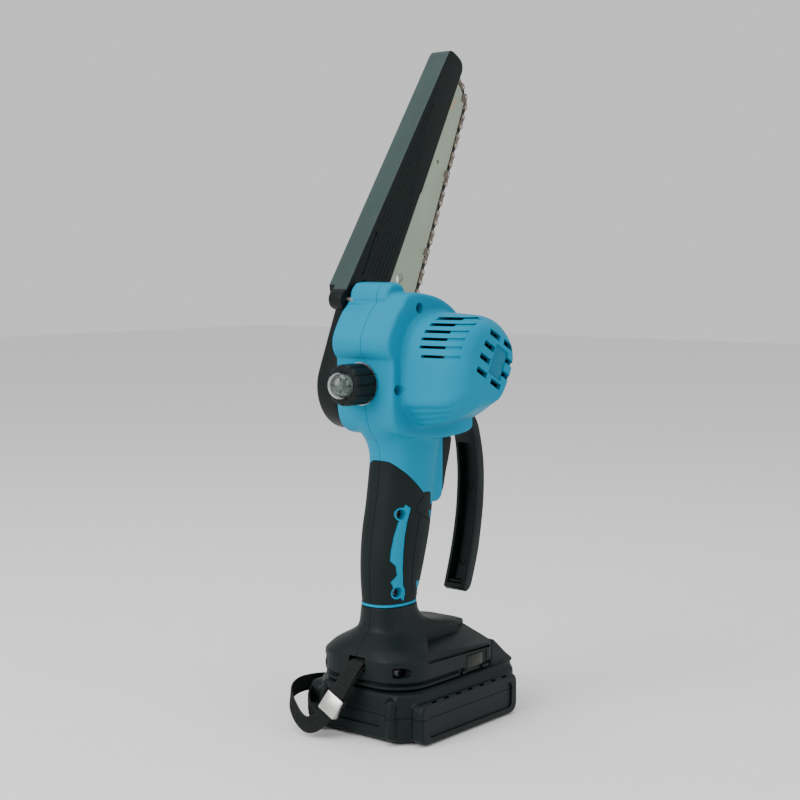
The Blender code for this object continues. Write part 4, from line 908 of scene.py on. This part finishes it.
def add_battery(materials):
    """Battery case in two halves, with side panels, back ribs, rail and nose."""
    levels = ((0.0, 0.0032), (0.0012, 0.0012), (0.0030, 0.0), (0.0255, 0.0), (0.0280, 0.0011),
              (0.0296, 0.0034), (0.0300, 0.0050))
    body = loft("battery", [case_ring(z, shrink) for z, shrink in levels])
    for side in (-1, 1):
        low, high = sorted((side * 0.0340, side * 0.0425))
        rim = rounded_outline((-0.0500, 0.0006), (0.0420, 0.0246), 0.0056)
        join(body, bevel(prism("rim", rim, low, high), 0.0014, 3, 60.0))
    join(body, turned("rib", (-0.0556, -0.0248, 0.0), "Z",
                      [(0.0025, 0.0012), (0.0038, 0.0034), (0.0245, 0.0034), (0.0262, 0.0012)]))
    join(body, turned("rib", (-0.0556, 0.0248, 0.0), "Z",
                      [(0.0025, 0.0012), (0.0038, 0.0034), (0.0245, 0.0034), (0.0262, 0.0012)]))
    nose = [(0.0276, 0.0280), (0.0515, 0.0280), (0.0505, 0.0305), (0.0440, 0.0350),
            (0.0320, 0.0448), (0.0276, 0.0452)]
    join(body, bevel(prism("nose", nose, -0.0330, 0.0330), 0.0015, 2))
    skin = soften(body, SKIN_VOXEL, 4)

    for side in (-1, 1):
        low, high = sorted((side * 0.0415, side * 0.0440))
        field = rounded_outline((-0.0440, 0.0045), (0.0362, 0.0200), 0.0032)
        cut(skin, prism("field", field, low, high))
        notches = []
        for step in range(7):
            x = -0.0386 + step * 0.0113
            notch = block("notch", (x - 0.0024, -0.0006, -0.0021), (x + 0.0024, 0.0006, 0.0021))
            notch.data.transform(Matrix.Translation((0.0, side * 0.0417, 0.0241))
                                 @ Matrix.Rotation(-side * math.radians(40), 4, "X"))
            notches.append(notch)
        cut(skin, merge("notches", notches))
    label = rounded_outline((-0.0157, 0.0085), (0.0157, 0.0205), 0.0008)
    cut(skin, loft("label", [[(x, y, z) for y, z in label] for x in (-0.0600, -0.0540)]))
    cut(skin, block("button shaft", (0.0322, -0.0116, 0.0300), (0.0398, 0.0116, 0.0500)))
    upper = copy_of(skin, "battery_case_top")
    cut(upper, block("lower side", (-0.1, -0.1, -0.1), (0.1, 0.1, 0.01565)))
    rail = block("rail", (-0.0440, -0.0216, 0.0290), (0.0285, 0.0216, 0.0365))
    join(rail, block("rail head", (-0.0440, -0.0264, 0.0361), (0.0285, 0.0264, 0.0406)))
    for y in (-0.0120, 0.0, 0.0120):
        cut(rail, block("contact", (-0.0470, y - 0.0011, 0.0335), (-0.0300, y + 0.0011, 0.0420)))
    join(upper, bevel(rail, 0.0005, 2))
    cut(skin, block("upper side", (-0.1, -0.1, 0.01535), (0.1, 0.1, 0.1)))
    skin.name = "battery_case_bottom"
    finish(upper, materials["black"], "battery", ("battery_top_case",), 38.0)
    finish(skin, materials["black"], "battery", ("battery_bottom_case",), 38.0)


# ---------------------------------------------------------------- guide bar and chain
def along_bar(outline):
    """Points given along and across the bar, as x and z."""
    return [on_bar(*point) for point in outline]


def belt(offset):
    """Circles of the chain's path, moved outward by an offset."""
    return [(*SPROCKET, SPROCKET_RADIUS + 0.0008 + offset),
            (*on_bar(BAR_WIDEST[0], 0.0), BAR_WIDEST[1] + offset),
            (*on_bar(BAR_NOSE[0], 0.0), BAR_NOSE[1] + offset)]


def bar_outline(offset):
    """The bar's edge, moved outward by an offset."""
    tail = (*on_bar(0.0340, 0.0), 0.0170 + offset)
    return wrap([tail, (*on_bar(BAR_WIDEST[0], 0.0), BAR_WIDEST[1] - 0.0003 + offset),
                 (*on_bar(BAR_NOSE[0], 0.0), BAR_NOSE[1] - 0.0003 + offset)], 120)


def add_bar(materials):
    """Guide bar with its edge groove, stud slot, holes and nose rivets."""
    bar = bevel(prism("guide_bar_plate", bar_outline(0.0), BAR_Y - 0.0018, BAR_Y + 0.0018),
                0.0003, 2, 60.0)
    groove = prism("groove", bar_outline(0.003), BAR_Y - 0.0008, BAR_Y + 0.0008)
    cut(groove, prism("groove floor", bar_outline(-0.0045), BAR_Y - 0.002, BAR_Y + 0.002))
    cut(bar, groove)
    slot = wrap([(*on_bar(0.0225, 0.0), 0.0031), (*on_bar(0.0440, 0.0), 0.0031)], 40)
    cut(bar, prism("stud slot", slot, BAR_Y - 0.005, BAR_Y + 0.005))
    for along, across, radius in ((0.0722, 0.0062, 0.0030), (0.1534, 0.0065, 0.0012),
                                  (0.0300, -0.0115, 0.0030)):
        x, z = on_bar(along, across)
        cut(bar, rod("hole", (x, BAR_Y, z), "Y", -0.005, 0.005, radius, 40))
        for side in (-1, 1):
            chamfer = [(0.0014 * side, radius), (0.0022 * side, radius + 0.0008)]
            cut(bar, turned("chamfer", (x, BAR_Y, z), "Y", chamfer, 40))
    finish(bar, materials["bar"], "housing", ("guide_bar",), 30.0)
    rivets = []
    for step in range(5):
        turn = math.radians(72 * step + 20)
        x, z = on_bar(BAR_NOSE[0] + 0.0045 * math.sin(turn), 0.0045 * math.cos(turn))
        rivets.append(turned("rivet", (x, BAR_Y, z), "Y",
                             [(-0.00192, 0.0010), (-0.00186, 0.0013), (0.00186, 0.0013),
                              (0.00192, 0.0010)], 20))
    finish(merge("nose_rivets", rivets), materials["copper"], "housing", (), 30.0)


def chain_points():
    """Rivet places: evenly spaced along the belt, 2.2 mm outside the bar's edge."""
    outline = [Vector(point) for point in wrap(belt(0.0021), 200)]
    closed = outline + [outline[0]]
    lengths = [(b - a).length for a, b in zip(closed, closed[1:])]
    count = 2 * DRIVE_LINKS
    step = sum(lengths) / count
    points = []
    reached = 0.0
    index = 0
    for number in range(count):
        target = (number + 0.35) * step
        while reached + lengths[index] < target:
            reached += lengths[index]
            index += 1
        ahead = (closed[index + 1] - closed[index]).normalized()
        points.append(closed[index] + ahead * (target - reached))
    return points


def link_at(outline, low, high, first, second):
    """One flat link between two rivets; outline is (along, outward) from its middle."""
    ahead = (second - first).normalized()
    outward = Vector((ahead.y, -ahead.x))
    middle = (first + second) / 2
    points = [middle + ahead * a + outward * b for a, b in outline]
    return prism("link", [tuple(p) for p in points], low, high)


def waisted(half_pitch, radius, waist):
    """Outline of a tie strap: two round ends and a narrower waist."""
    outline = [(0.0, -waist)]
    for step in range(9):
        turn = math.radians(-110 + 27.5 * step)
        outline.append((half_pitch + radius * math.cos(turn), radius * math.sin(turn)))
    outline.append((0.0, waist))
    for step in range(9):
        turn = math.radians(70 + 27.5 * step)
        outline.append((-half_pitch + radius * math.cos(turn), radius * math.sin(turn)))
    return outline


def add_chain(materials):
    """Drive links, tie straps, rivets, and cutters alternately left and right."""
    points = chain_points()
    count = len(points)
    straps = []
    drives = []
    rivets = []
    half = PITCH / 2
    strap = waisted(half, 0.0020, 0.0012)
    cutter = [(-0.0054, -0.0008), (-0.0044, -0.0018), (0.0, -0.0013), (0.0040, -0.0019),
              (0.0051, -0.0004), (0.0048, 0.0018), (0.0040, 0.0030), (0.0029, 0.0031),
              (0.0020, 0.0012), (0.0010, 0.0006), (0.0003, 0.0018), (-0.0002, 0.0037),
              (-0.0046, 0.0030), (-0.0052, 0.0016)]
    top_plate = [(-0.0002, 0.0032), (0.0, 0.0038), (-0.0047, 0.0031), (-0.0047, 0.0026)]
    drive = [(-0.0046, 0.0010), (-0.0052, -0.0002), (-0.0042, -0.0018), (-0.0016, -0.0034),
             (0.0004, -0.0052), (0.0016, -0.0050), (0.0024, -0.0026), (0.0044, -0.0018),
             (0.0052, -0.0002), (0.0046, 0.0011), (0.0018, 0.0022), (-0.0004, 0.0016),
             (-0.0020, 0.0014)]
    for number in range(0, count, 2):
        a = points[number]
        b = points[(number + 1) % count]
        c = points[(number + 2) % count]
        side = 1 if number % 8 == 0 else -1
        toothed = number % 4 == 0
        for place in (-1, 1):
            low, high = sorted((BAR_Y + place * 0.00085, BAR_Y + place * 0.00195))
            shape = cutter if toothed and place == side else strap
            straps.append(link_at(shape, low, high, b, a))
        if toothed:
            low, high = sorted((BAR_Y + side * 0.0024, BAR_Y - side * 0.0003))
            straps.append(link_at(top_plate, low, high, b, a))
        drives.append(link_at(drive, BAR_Y - 0.00065, BAR_Y + 0.00065, b, c))
        for point in (a, b):
            rivets.append(turned("rivet", (point.x, BAR_Y, point.y), "Y",
                                 [(-0.00235, 0.0007), (-0.00225, 0.0010), (-0.0019, 0.0011),
                                  (0.0019, 0.0011), (0.00225, 0.0010), (0.00235, 0.0007)], 12))
    links = merge("chain_straps", straps)
    bevel(links, 0.00012, 1, 50.0)
    finish(links, materials["chain"], "housing", ("saw_chain",), 30.0)
    finish(merge("chain_drive_links", drives), materials["chain_dark"], "housing", (),
           30.0)
    finish(merge("chain_rivets", rivets), materials["rivet"], "housing", (), 40.0)


# ---------------------------------------------------------------- covers round bar and sprocket
def add_chain_cover(materials):
    """Channel with fine grooves down its near wall and a round knuckle at its foot; faces turned
    back are painted lighter, as if lit.
    """
    nose = [(0.2108, -0.0036), (0.2132, -0.0042), (0.2153, -0.0056), (0.2168, -0.0082),
            (0.2172, -0.0120), (0.2172, -0.0165), (0.2165, -0.0190), (0.2150, -0.0207),
            (0.2120, -0.0215)]
    outline = nose + [(0.0520, -0.0393), (0.0340, -0.0415), (0.0320, -0.0330), (0.0450, -0.0325),
                      (0.0530, -0.0300), (0.0565, -0.0065), (0.1240, -0.0053), (0.1250, -0.0046)]
    shell = bevel(prism("cover_shell", along_bar(outline), 0.0225, 0.0378), 0.0013, 4, 50.0)
    foot = [(0.0200, -0.0600), (0.0200, -0.0293), (0.0362, -0.0293), (0.0414, -0.0364),
            (0.0450, -0.0392), (0.0470, -0.0600)]
    cut(shell, prism("foot step", along_bar(foot), 0.0325, 0.0500))
    hinge = (HINGE[0], 0.0, HINGE[1])
    join(shell, bevel(rod("knuckle", hinge, "Y", 0.0225, 0.0325, 0.0060), 0.0010, 3))
    room = [(0.2078, 0.0050), (0.2136, -0.0060), (0.2140, -0.0170), (0.2122, -0.0190),
            (0.0555, -0.0366), (0.0470, -0.0360), (0.0450, -0.0100), (0.0500, 0.0200)]
    cut(shell, prism("channel", along_bar(room), 0.0239, 0.0361))
    cut(shell, rod("pin hole", hinge, "Y", 0.01, 0.05, 0.0018))
    grooves = []
    for number in range(8):
        share = 0.16 + number * 0.095
        end = 0.1880 - 0.0105 * number
        line = []
        for along in (0.0600, end):
            t = (along - 0.0600) / 0.1500
            front = -0.0065 + 0.0029 * t
            back = -0.0384 + 0.0168 * t
            line.append((along, back + (front - back) * share))
        grooves.append(prism("groove", along_bar(strip(line, 0.00032)), 0.0215, 0.02285))
    cut(shell, *grooves)
    recess = [(0.0560, -0.0330), (0.0840, -0.0325), (0.0830, -0.0300), (0.0560, -0.0300)]
    cut(shell, prism("recess", along_bar(recess), 0.0215, 0.0232))
    finish(shell, materials["cover"], "chain_cover", ("chain_cover",), 35.0)
    # Faces turned back, above the knuckle, take the lighter teal copy of the cover plastic: painted
    # light where the key light falls on the back strip; the rest keeps the plain cover colour
    shell.data.materials.append(materials["cover_lit_painted"])
    backwards = Vector((-math.cos(BAR_TILT), 0.0, math.sin(BAR_TILT)))
    for face in shell.data.polygons:
        if face.normal.dot(backwards) > 0.75 and face.center.z > HINGE[1] + 0.0060:
            face.material_index = 1
    pin = turned("hinge_pin", hinge, "Y",
                 [(0.0175, 0.0011), (0.0178, 0.0015), (0.0328, 0.0015), (0.0328, 0.0030),
                  (0.0337, 0.0029), (0.0341, 0.0024)])
    finish(pin, materials["steel"], "housing", ("cover_hinge_pin",), 30.0)


def add_sprocket_cover(materials):
    """Cup over the sprocket with its ring, ribs and nut seats; studs and nuts."""
    outer = wrap([(*SPROCKET, 0.0258), (*on_bar(0.0420, 0.0), 0.0294)], 120)
    shell = bevel(prism("sprocket_cup", outer, 0.0221, 0.0388), 0.0032, 5)
    room = wrap([(*SPROCKET, 0.0236), (*on_bar(0.0420, 0.0), 0.0272)], 120)
    cut(shell, prism("room", room, 0.0180, 0.0364))
    back = [(-0.0900, 0.2225), (-0.0380, 0.2225), (-0.0300, 0.2600), (-0.0900, 0.2600)]
    cut(shell, prism("back opening", back, 0.0100, 0.0500))
    mouth = [(0.0430, -0.0500), (0.0430, 0.0500), (0.1000, 0.0500), (0.1000, -0.0500)]
    cut(shell, prism("mouth", along_bar(mouth), 0.0100, 0.0500))
    ring = prism("ring", wrap([(*SPROCKET, 0.0215), (*on_bar(0.0420, 0.0), 0.0250)], 96),
                 0.0383, 0.0400)
    cut(ring, prism("ring inside", wrap([(*SPROCKET, 0.0207), (*on_bar(0.0420, 0.0), 0.0242)], 96),
                    0.0370, 0.0410))
    cut(shell, ring)
    for step in range(5):
        line = [(-0.0150 + step * 0.0055, -0.0110), (-0.0150 + step * 0.0055, 0.0110)]
        cut(shell, prism("rib gap", along_bar(strip(line, 0.0009)), 0.0381, 0.0400))
    for along in STUDS:
        x, z = on_bar(along, 0.0)
        cut(shell, rod("stud hole", (x, 0.0376, z), "Y", -0.003, 0.003, 0.0030))
        cut(shell, turned("nut seat", (x, 0.0, z), "Y", [(0.0385, 0.0066), (0.0400, 0.0068)]))
    finish(shell, materials["cover"], "housing", ("sprocket_cover",), 35.0)

    for number, along in enumerate(STUDS):
        x, z = on_bar(along, 0.0)
        profile = [(0.0175, 0.0050), (0.0190, 0.0050), (0.0190, 0.0026)]
        turns = 24
        for step in range(turns + 1):
            y = 0.0300 + 0.0153 * step / turns
            profile.append((y, 0.0026 if step % 2 == 0 else 0.0023))
        profile.append((0.0458, 0.0020))
        stud = turned("stud_%d" % (number + 1), (x, 0.0, z), "Y", profile)
        finish(stud, materials["steel"], "housing", ("bar_stud_%d" % (number + 1),), 25.0)
        nut = prism("flange_nut_%d" % (number + 1), circle((x, z), 0.0053, 6), 0.0391, 0.0438)
        keep(nut, turned("round off", (x, 0.0, z), "Y",
                         [(0.0388, 0.0056), (0.0430, 0.0056), (0.0440, 0.0044)]))
        join(nut, turned("flange", (x, 0.0, z), "Y", [(0.0391, 0.0062), (0.0396, 0.0062),
                                                     (0.0402, 0.0052)]))
        cut(nut, rod("thread", (x, 0.0, z), "Y", 0.037, 0.048, 0.0028))
        finish(nut, materials["steel"], "housing", ("bar_nut_%d" % (number + 1),), 25.0)


# ---------------------------------------------------------------- hand guard, trigger, lock
GUARD_OUTER = [(0.0277, 0.1830), (0.0400, 0.1800), (0.0479, 0.1730), (0.0524, 0.1600),
               (0.0547, 0.1480), (0.0553, 0.1380), (0.0550, 0.1260), (0.0536, 0.1140),
               (0.0500, 0.0950), (0.0448, 0.0790), (0.0414, 0.0715), (0.0372, 0.0692)]
GUARD_INNER = [(0.0340, 0.0715), (0.0366, 0.0790), (0.0410, 0.0930), (0.0446, 0.1080),
               (0.0468, 0.1220), (0.0477, 0.1380), (0.0469, 0.1500), (0.0448, 0.1620),
               (0.0405, 0.1700), (0.0340, 0.1745), (0.0277, 0.1750)]


def add_guard(materials):
    """Hand guard: a bowed channel open towards the hand."""
    outer = curve_through(GUARD_OUTER, 4)
    inner = curve_through(GUARD_INNER, 4)
    guard = bevel(prism("guard_bow", (outer + inner)[::-1], -GUARD_HALF, GUARD_HALF),
                  0.0012, 3, 50.0)
    shifted = [(x - 0.0020, z + 0.0004) for x, z in outer[12:-4]]
    room = shifted + [(0.0300, 0.0765), (0.0250, 0.1000), (0.0300, 0.1560)]
    channel = prism("channel", room[::-1], -0.0056, 0.0056)
    cut(channel, block("ledge", (0.0366, -0.0070, 0.0744), (0.0500, 0.0070, 0.0758)))
    cut(guard, channel)
    for x, z in ((0.0490, 0.1660), (0.0532, 0.1320), (0.0452, 0.0864)):
        mark = cut(rod("mark", (x, 0.0008, z), "X", -0.0014, 0.0006, 0.0024, 32),
                   rod("mark centre", (x, 0.0008, z), "X", -0.0020, 0.0010, 0.0019, 32))
        cut(guard, mark)
    finish(guard, materials["black"], "housing", ("hand_guard",), 35.0)


def add_controls(materials):
    """Trigger, lock-off button and battery release."""
    face = [(0.0228, 0.1664), (0.0246, 0.1645), (0.0240, 0.1600), (0.0226, 0.1545),
            (0.0208, 0.1490), (0.0192, 0.1440), (0.0180, 0.1390), (0.0168, 0.1350),
            (0.0158, 0.1334)]
    outline = curve_through(face, 3) + [(0.0020, 0.1334), (0.0020, 0.1664)]
    trigger = bevel(prism("trigger_key", outline[::-1], -0.0055, 0.0055), 0.0014, 4, 50.0)
    for z in (0.1440, 0.1480, 0.1520, 0.1560):
        x = 0.0196 + (z - 0.1440) * 0.33
        cut(trigger, rod("finger groove", (x + 0.0010, 0.0, z), "Y", -0.0030, 0.0030, 0.0008, 16))
    finish(trigger, materials["black"], "trigger", ("trigger",), 35.0)
    button = turned("lock_key", (-0.0080, 0.0, 0.1500), "Y",
                    [(0.0092, 0.0060), (0.0102, 0.0060), (0.0102, 0.0042), (0.0174, 0.0042),
                     (0.0182, 0.0037), (0.0185, 0.0028), (0.0183, 0.0015), (0.0181, 0.0004)])
    for step in (-1, 0, 1):
        cut(button, block("ridge gap", (-0.0120, 0.0182, 0.1497 + step * 0.0020),
                          (-0.0040, 0.0190, 0.1503 + step * 0.0020)))
    finish(button, materials["black"], "lock_button", ("lock_button",), 35.0)
    cap = [(0.0325, 0.0340), (0.0395, 0.0340), (0.0395, 0.0408), (0.0325, 0.0464)]
    key = bevel(prism("release_key", cap, -0.0112, 0.0112), 0.0009, 3)
    cut(key, rod("spring room", (0.0360, 0.0, 0.0), "Z", 0.0330, 0.0362, 0.0031, 32))
    for step in range(4):
        x = 0.0338 + step * 0.0014
        z = 0.0464 - (x - 0.0325) * 0.8
        cut(key, block("rib gap", (x - 0.0003, -0.0085, z - 0.0004),
                       (x + 0.0003, 0.0085, z + 0.002)))
    finish(key, materials["black"], "battery_release", ("battery_release_button",),
           35.0)


# ---------------------------------------------------------------- oiler
def add_oiler(materials):
    """Ribbed collar, clear dome and the pump seat seen through it."""
    y, z = OILER
    ring = []
    count = 12
    for rib in range(count):
        for part, radius in ((0.0, 0.01090), (0.05, 0.01140), (0.10, 0.01165), (0.30, 0.01175),
                             (0.60, 0.01175), (0.80, 0.01165), (0.85, 0.01140), (0.90, 0.01090),
                             (0.95, 0.01080)):
            turn = 2 * math.pi * (rib + part) / count
            ring.append((radius * math.cos(turn), radius * math.sin(turn)))
    rings = [[(x, y + a * grow, z + b * grow) for a, b in ring]
             for x, grow in ((-0.0651, 0.80), (-0.0650, 0.90), (-0.0645, 0.95), (-0.0635, 1.0),
                             (-0.0500, 1.0))]
    collar = loft("ribbed_collar", rings)
    cut(collar, rod("hole", (0.0, y, z), "X", -0.08, -0.04, 0.0079, 64))
    finish(collar, materials["black"], "oiler_collar", ("oiler_collar",), 25.0)

    dome = [(-0.0560, 0.0076), (-0.0668, 0.0076)]
    inside = [(-0.0550, 0.0068), (-0.0668, 0.0068)]
    for step in range(1, 13):
        turn = math.pi / 2 * step / 13
        dome.append((-0.0668 - 0.0062 * math.sin(turn), 0.0076 * math.cos(turn)))
        inside.append((-0.0668 - 0.0054 * math.sin(turn), 0.0068 * math.cos(turn)))
    bulb = cut(turned("clear_bulb", (0.0, y, z), "X", dome, 64),
               turned("bulb room", (0.0, y, z), "X", inside, 64))
    finish(bulb, materials["clear"], "oiler_dome", ("oiler_dome",), 40.0)
    seat = turned("bulb_seat", (0.0, y, z), "X",
                  [(-0.0562, 0.0066), (-0.0630, 0.0066), (-0.0638, 0.0050), (-0.0638, 0.0030),
                   (-0.0676, 0.0024), (-0.0684, 0.0012)], 40)
    for step in range(6):
        turn = math.radians(60 * step)
        port = (0.0, y + 0.0040 * math.cos(turn), z + 0.0040 * math.sin(turn))
        cut(seat, rod("port", port, "X", -0.0650, -0.0620, 0.0009, 12))
    finish(seat, materials["seat"], "oiler_dome", (), 30.0)


# ---------------------------------------------------------------- screws and the parts inside
def cross_screw(name, spot, end, material, replaced):
    """Pan-head screw along Y with a cross recess; it points towards +Y when end is larger."""
    x, y, z = spot
    sign = 1 if end > y else -1
    profile = [(0.0, 0.0014), (0.0002 * sign, 0.0020), (0.0007 * sign, 0.0025),
               (0.0018 * sign, 0.0026), (0.0018 * sign, 0.0013), (end - y, 0.0012)]
    screw = turned(name, spot, "Y", profile)
    low, high = sorted((y - 0.001 * sign, y + 0.0012 * sign))
    arm = block("arm", (x - 0.0003, low, z - 0.0013), (x + 0.0003, high, z + 0.0013))
    join(arm, block("arm", (x - 0.0013, low, z - 0.0003), (x + 0.0013, high, z + 0.0003)))
    cut(screw, arm)
    finish(screw, material, "housing", (replaced,), 30.0)


def add_screws(materials):
    """Four screws of the clamshell and two of the foot."""
    spots = [(x, -0.0162, z) for x, z in HEAD_SCREWS] + [(x, -0.0109, z) for x, z in GRIP_SCREWS]
    for number, spot in enumerate(spots):
        name = "housing_screw_%d" % (number + 1)
        cross_screw("case_screw_%d" % (number + 1), spot, 0.0080, materials["dark_steel"], name)
    for number, side in enumerate((-1, 1)):
        cross_screw("foot_cap_screw_%d" % (number + 1), (-0.0503, side * 0.0263, 0.0405),
                    side * 0.0245, materials["dark_steel"], "foot_screw_%d" % (number + 1))


def add_window(materials):
    """Smoked pane in the foot's side."""
    pane = bevel(block("charge_window", (0.0015, -0.0350, 0.0334), (0.0169, -0.0337, 0.0409)),
                 0.0004, 2)
    finish(pane, materials["window"], "housing", ("indicator_window",), 35.0)


INSIDE = {
    "board": ("control_board", "battery_board"),
    "terminal": ("terminal_block",),
    "inner": ("switch_module", "motor_end_cap"),
    "steel": ("motor_can", "inner_bearing", "output_bearing", "reduction_gear", "output_shaft",
              "drive_sprocket", "tension_screw", "tension_block", "release_spring"),
    "alloy": ("gearbox_plate",),
    "tank": ("oil_reservoir",),
    "bright": ("oiler_washer",),
    "rotor": ("rotor",),
    "brass": ("pinion",),
    "cell": ("cell_1", "cell_2", "cell_3", "cell_4", "cell_5"),
}


def paint_inside(materials):
    """Give the carried-over pieces their finishes."""
    nodes = {o["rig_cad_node"]: o for o in bpy.context.scene.objects if "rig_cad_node" in o}
    for key, names in INSIDE.items():
        for name in names:
            for place in nodes[name].material_slots:
                place.material = materials[key]


def glass():
    """Clear plastic with faint swirls."""
    made = surface("clear_plastic", (0.72, 0.80, 0.78), 0.06, 60.0, 0.00003, spread=0.03)
    shader = made.node_tree.nodes["Principled BSDF"]
    shader.inputs["Transmission Weight"].default_value = 1.0
    shader.inputs["IOR"].default_value = 1.40
    shader.inputs["Alpha"].default_value = 0.85
    return made


def make_materials():
    """Every finish by a short key."""
    tilt = (0.0, BAR_TILT, 0.0)
    return {
        "blue": surface("blue_plastic", (0.0, 0.225, 0.370), 0.46, 1900.0, 0.00003, cloud=0.03,
                        specular=0.06),
        "label_blue": surface("label_blue", (0.0, 0.15, 0.25), 0.40, 900.0, 0.00001, cloud=0.02,
                              specular=0.15),
        "black": surface("black_plastic", (0.0040, 0.0074, 0.0076), 0.46, 2600.0, 0.00006,
                         cloud=0.12, second=(0.008, 0.014, 0.014), specular=0.17),
        "cover": surface("cover_plastic", (0.0036, 0.0062, 0.0060), 0.42, 3200.0, 0.00008,
                         cloud=0.12, second=(0.008, 0.015, 0.014), specular=0.14),
        # Lighter teal copy of the cover plastic with brighter flecks: painted light for the back
        # strip that faces the key light
        "cover_lit_painted": surface("cover_plastic_painted_lit", (0.030, 0.050, 0.047), 0.40, 3600.0, 0.00010,
                              cloud=0.08, second=(0.065, 0.105, 0.100), specular=0.16),
        "rubber": surface("rubber", (0.0042, 0.0086, 0.0088), 0.62, 3000.0, 0.00006, cloud=0.15,
                          specular=0.17),
        "webbing": surface("webbing", (0.0035, 0.0045, 0.0045), 0.80, 5200.0, 0.00012, cloud=0.2,
                           stretch=((1.0, 1.0, 0.3), (0.0, 0.0, 0.0)),
                           second=(0.014, 0.017, 0.017), specular=0.30),
        "bright": surface("bright_metal", (0.56, 0.56, 0.54), 0.26, 700.0, 0.00002, metallic=1.0,
                          cloud=0.05),
        "bar": surface("bar_steel", (0.33, 0.39, 0.30), 0.46, 2400.0, 0.00002, metallic=0.55,
                       cloud=0.04, stretch=((1.0, 1.0, 22.0), tilt), specular=0.4),
        "copper": surface("rivet_copper", (0.55, 0.36, 0.22), 0.40, 1500.0, 0.00002, metallic=0.7),
        "chain": surface("chain_steel", (0.16, 0.135, 0.11), 0.38, 2600.0, 0.00004, metallic=0.85,
                         cloud=0.25, second=(0.26, 0.23, 0.20)),
        "chain_dark": surface("drive_link_steel", (0.020, 0.020, 0.022), 0.35, 2600.0, 0.00003,
                              metallic=0.6, cloud=0.25),
        "rivet": surface("rivet_steel", (0.52, 0.47, 0.40), 0.28, 1800.0, 0.00002, metallic=1.0),
        "steel": surface("machined_steel", (0.38, 0.38, 0.37), 0.32, 1800.0, 0.00002, metallic=1.0),
        "dark_steel": surface("dark_steel", (0.05, 0.05, 0.055), 0.38, 1800.0, 0.00002,
                              metallic=0.9),
        "alloy": surface("cast_alloy", (0.45, 0.46, 0.46), 0.48, 1400.0, 0.00006, metallic=0.9),
        "rotor": surface("rotor_stack", (0.25, 0.21, 0.18), 0.45, 900.0, 0.00006, metallic=0.8,
                         stretch=((1.0, 0.06, 1.0), (0.0, 0.0, 0.0)), second=(0.45, 0.20, 0.08)),
        "brass": surface("brass", (0.60, 0.45, 0.20), 0.30, 1500.0, 0.00002, metallic=1.0),
        "cell": surface("cell_sleeve", (0.08, 0.26, 0.50), 0.30, 900.0, 0.00002),
        "board": surface("board", (0.02, 0.16, 0.06), 0.32, 500.0, 0.00003, cloud=0.25,
                         second=(0.05, 0.28, 0.12)),
        "inner": surface("inner_plastic", (0.03, 0.03, 0.03), 0.50, 1900.0, 0.00004),
        "terminal": surface("terminal_plastic", (0.62, 0.48, 0.05), 0.45, 1900.0, 0.00004),
        "tank": surface("tank_plastic", (0.62, 0.62, 0.58), 0.30, 500.0, 0.00003),
        "window": surface("window_smoke", (0.016, 0.018, 0.015), 0.20, 800.0, 0.00001,
                          specular=0.18),
        "seat": surface("pump_seat", (0.16, 0.19, 0.18), 0.35, 900.0, 0.00003),
        "clear": glass(),
    }


add_camera()
finishes = make_materials()
add_strap(finishes)
add_stage()
for build in (add_housing, add_grip, add_foot, add_battery, add_bar, add_chain, add_chain_cover,
              add_sprocket_cover, add_guard, add_controls, add_oiler, add_screws, add_window,
              paint_inside):
    build(finishes)
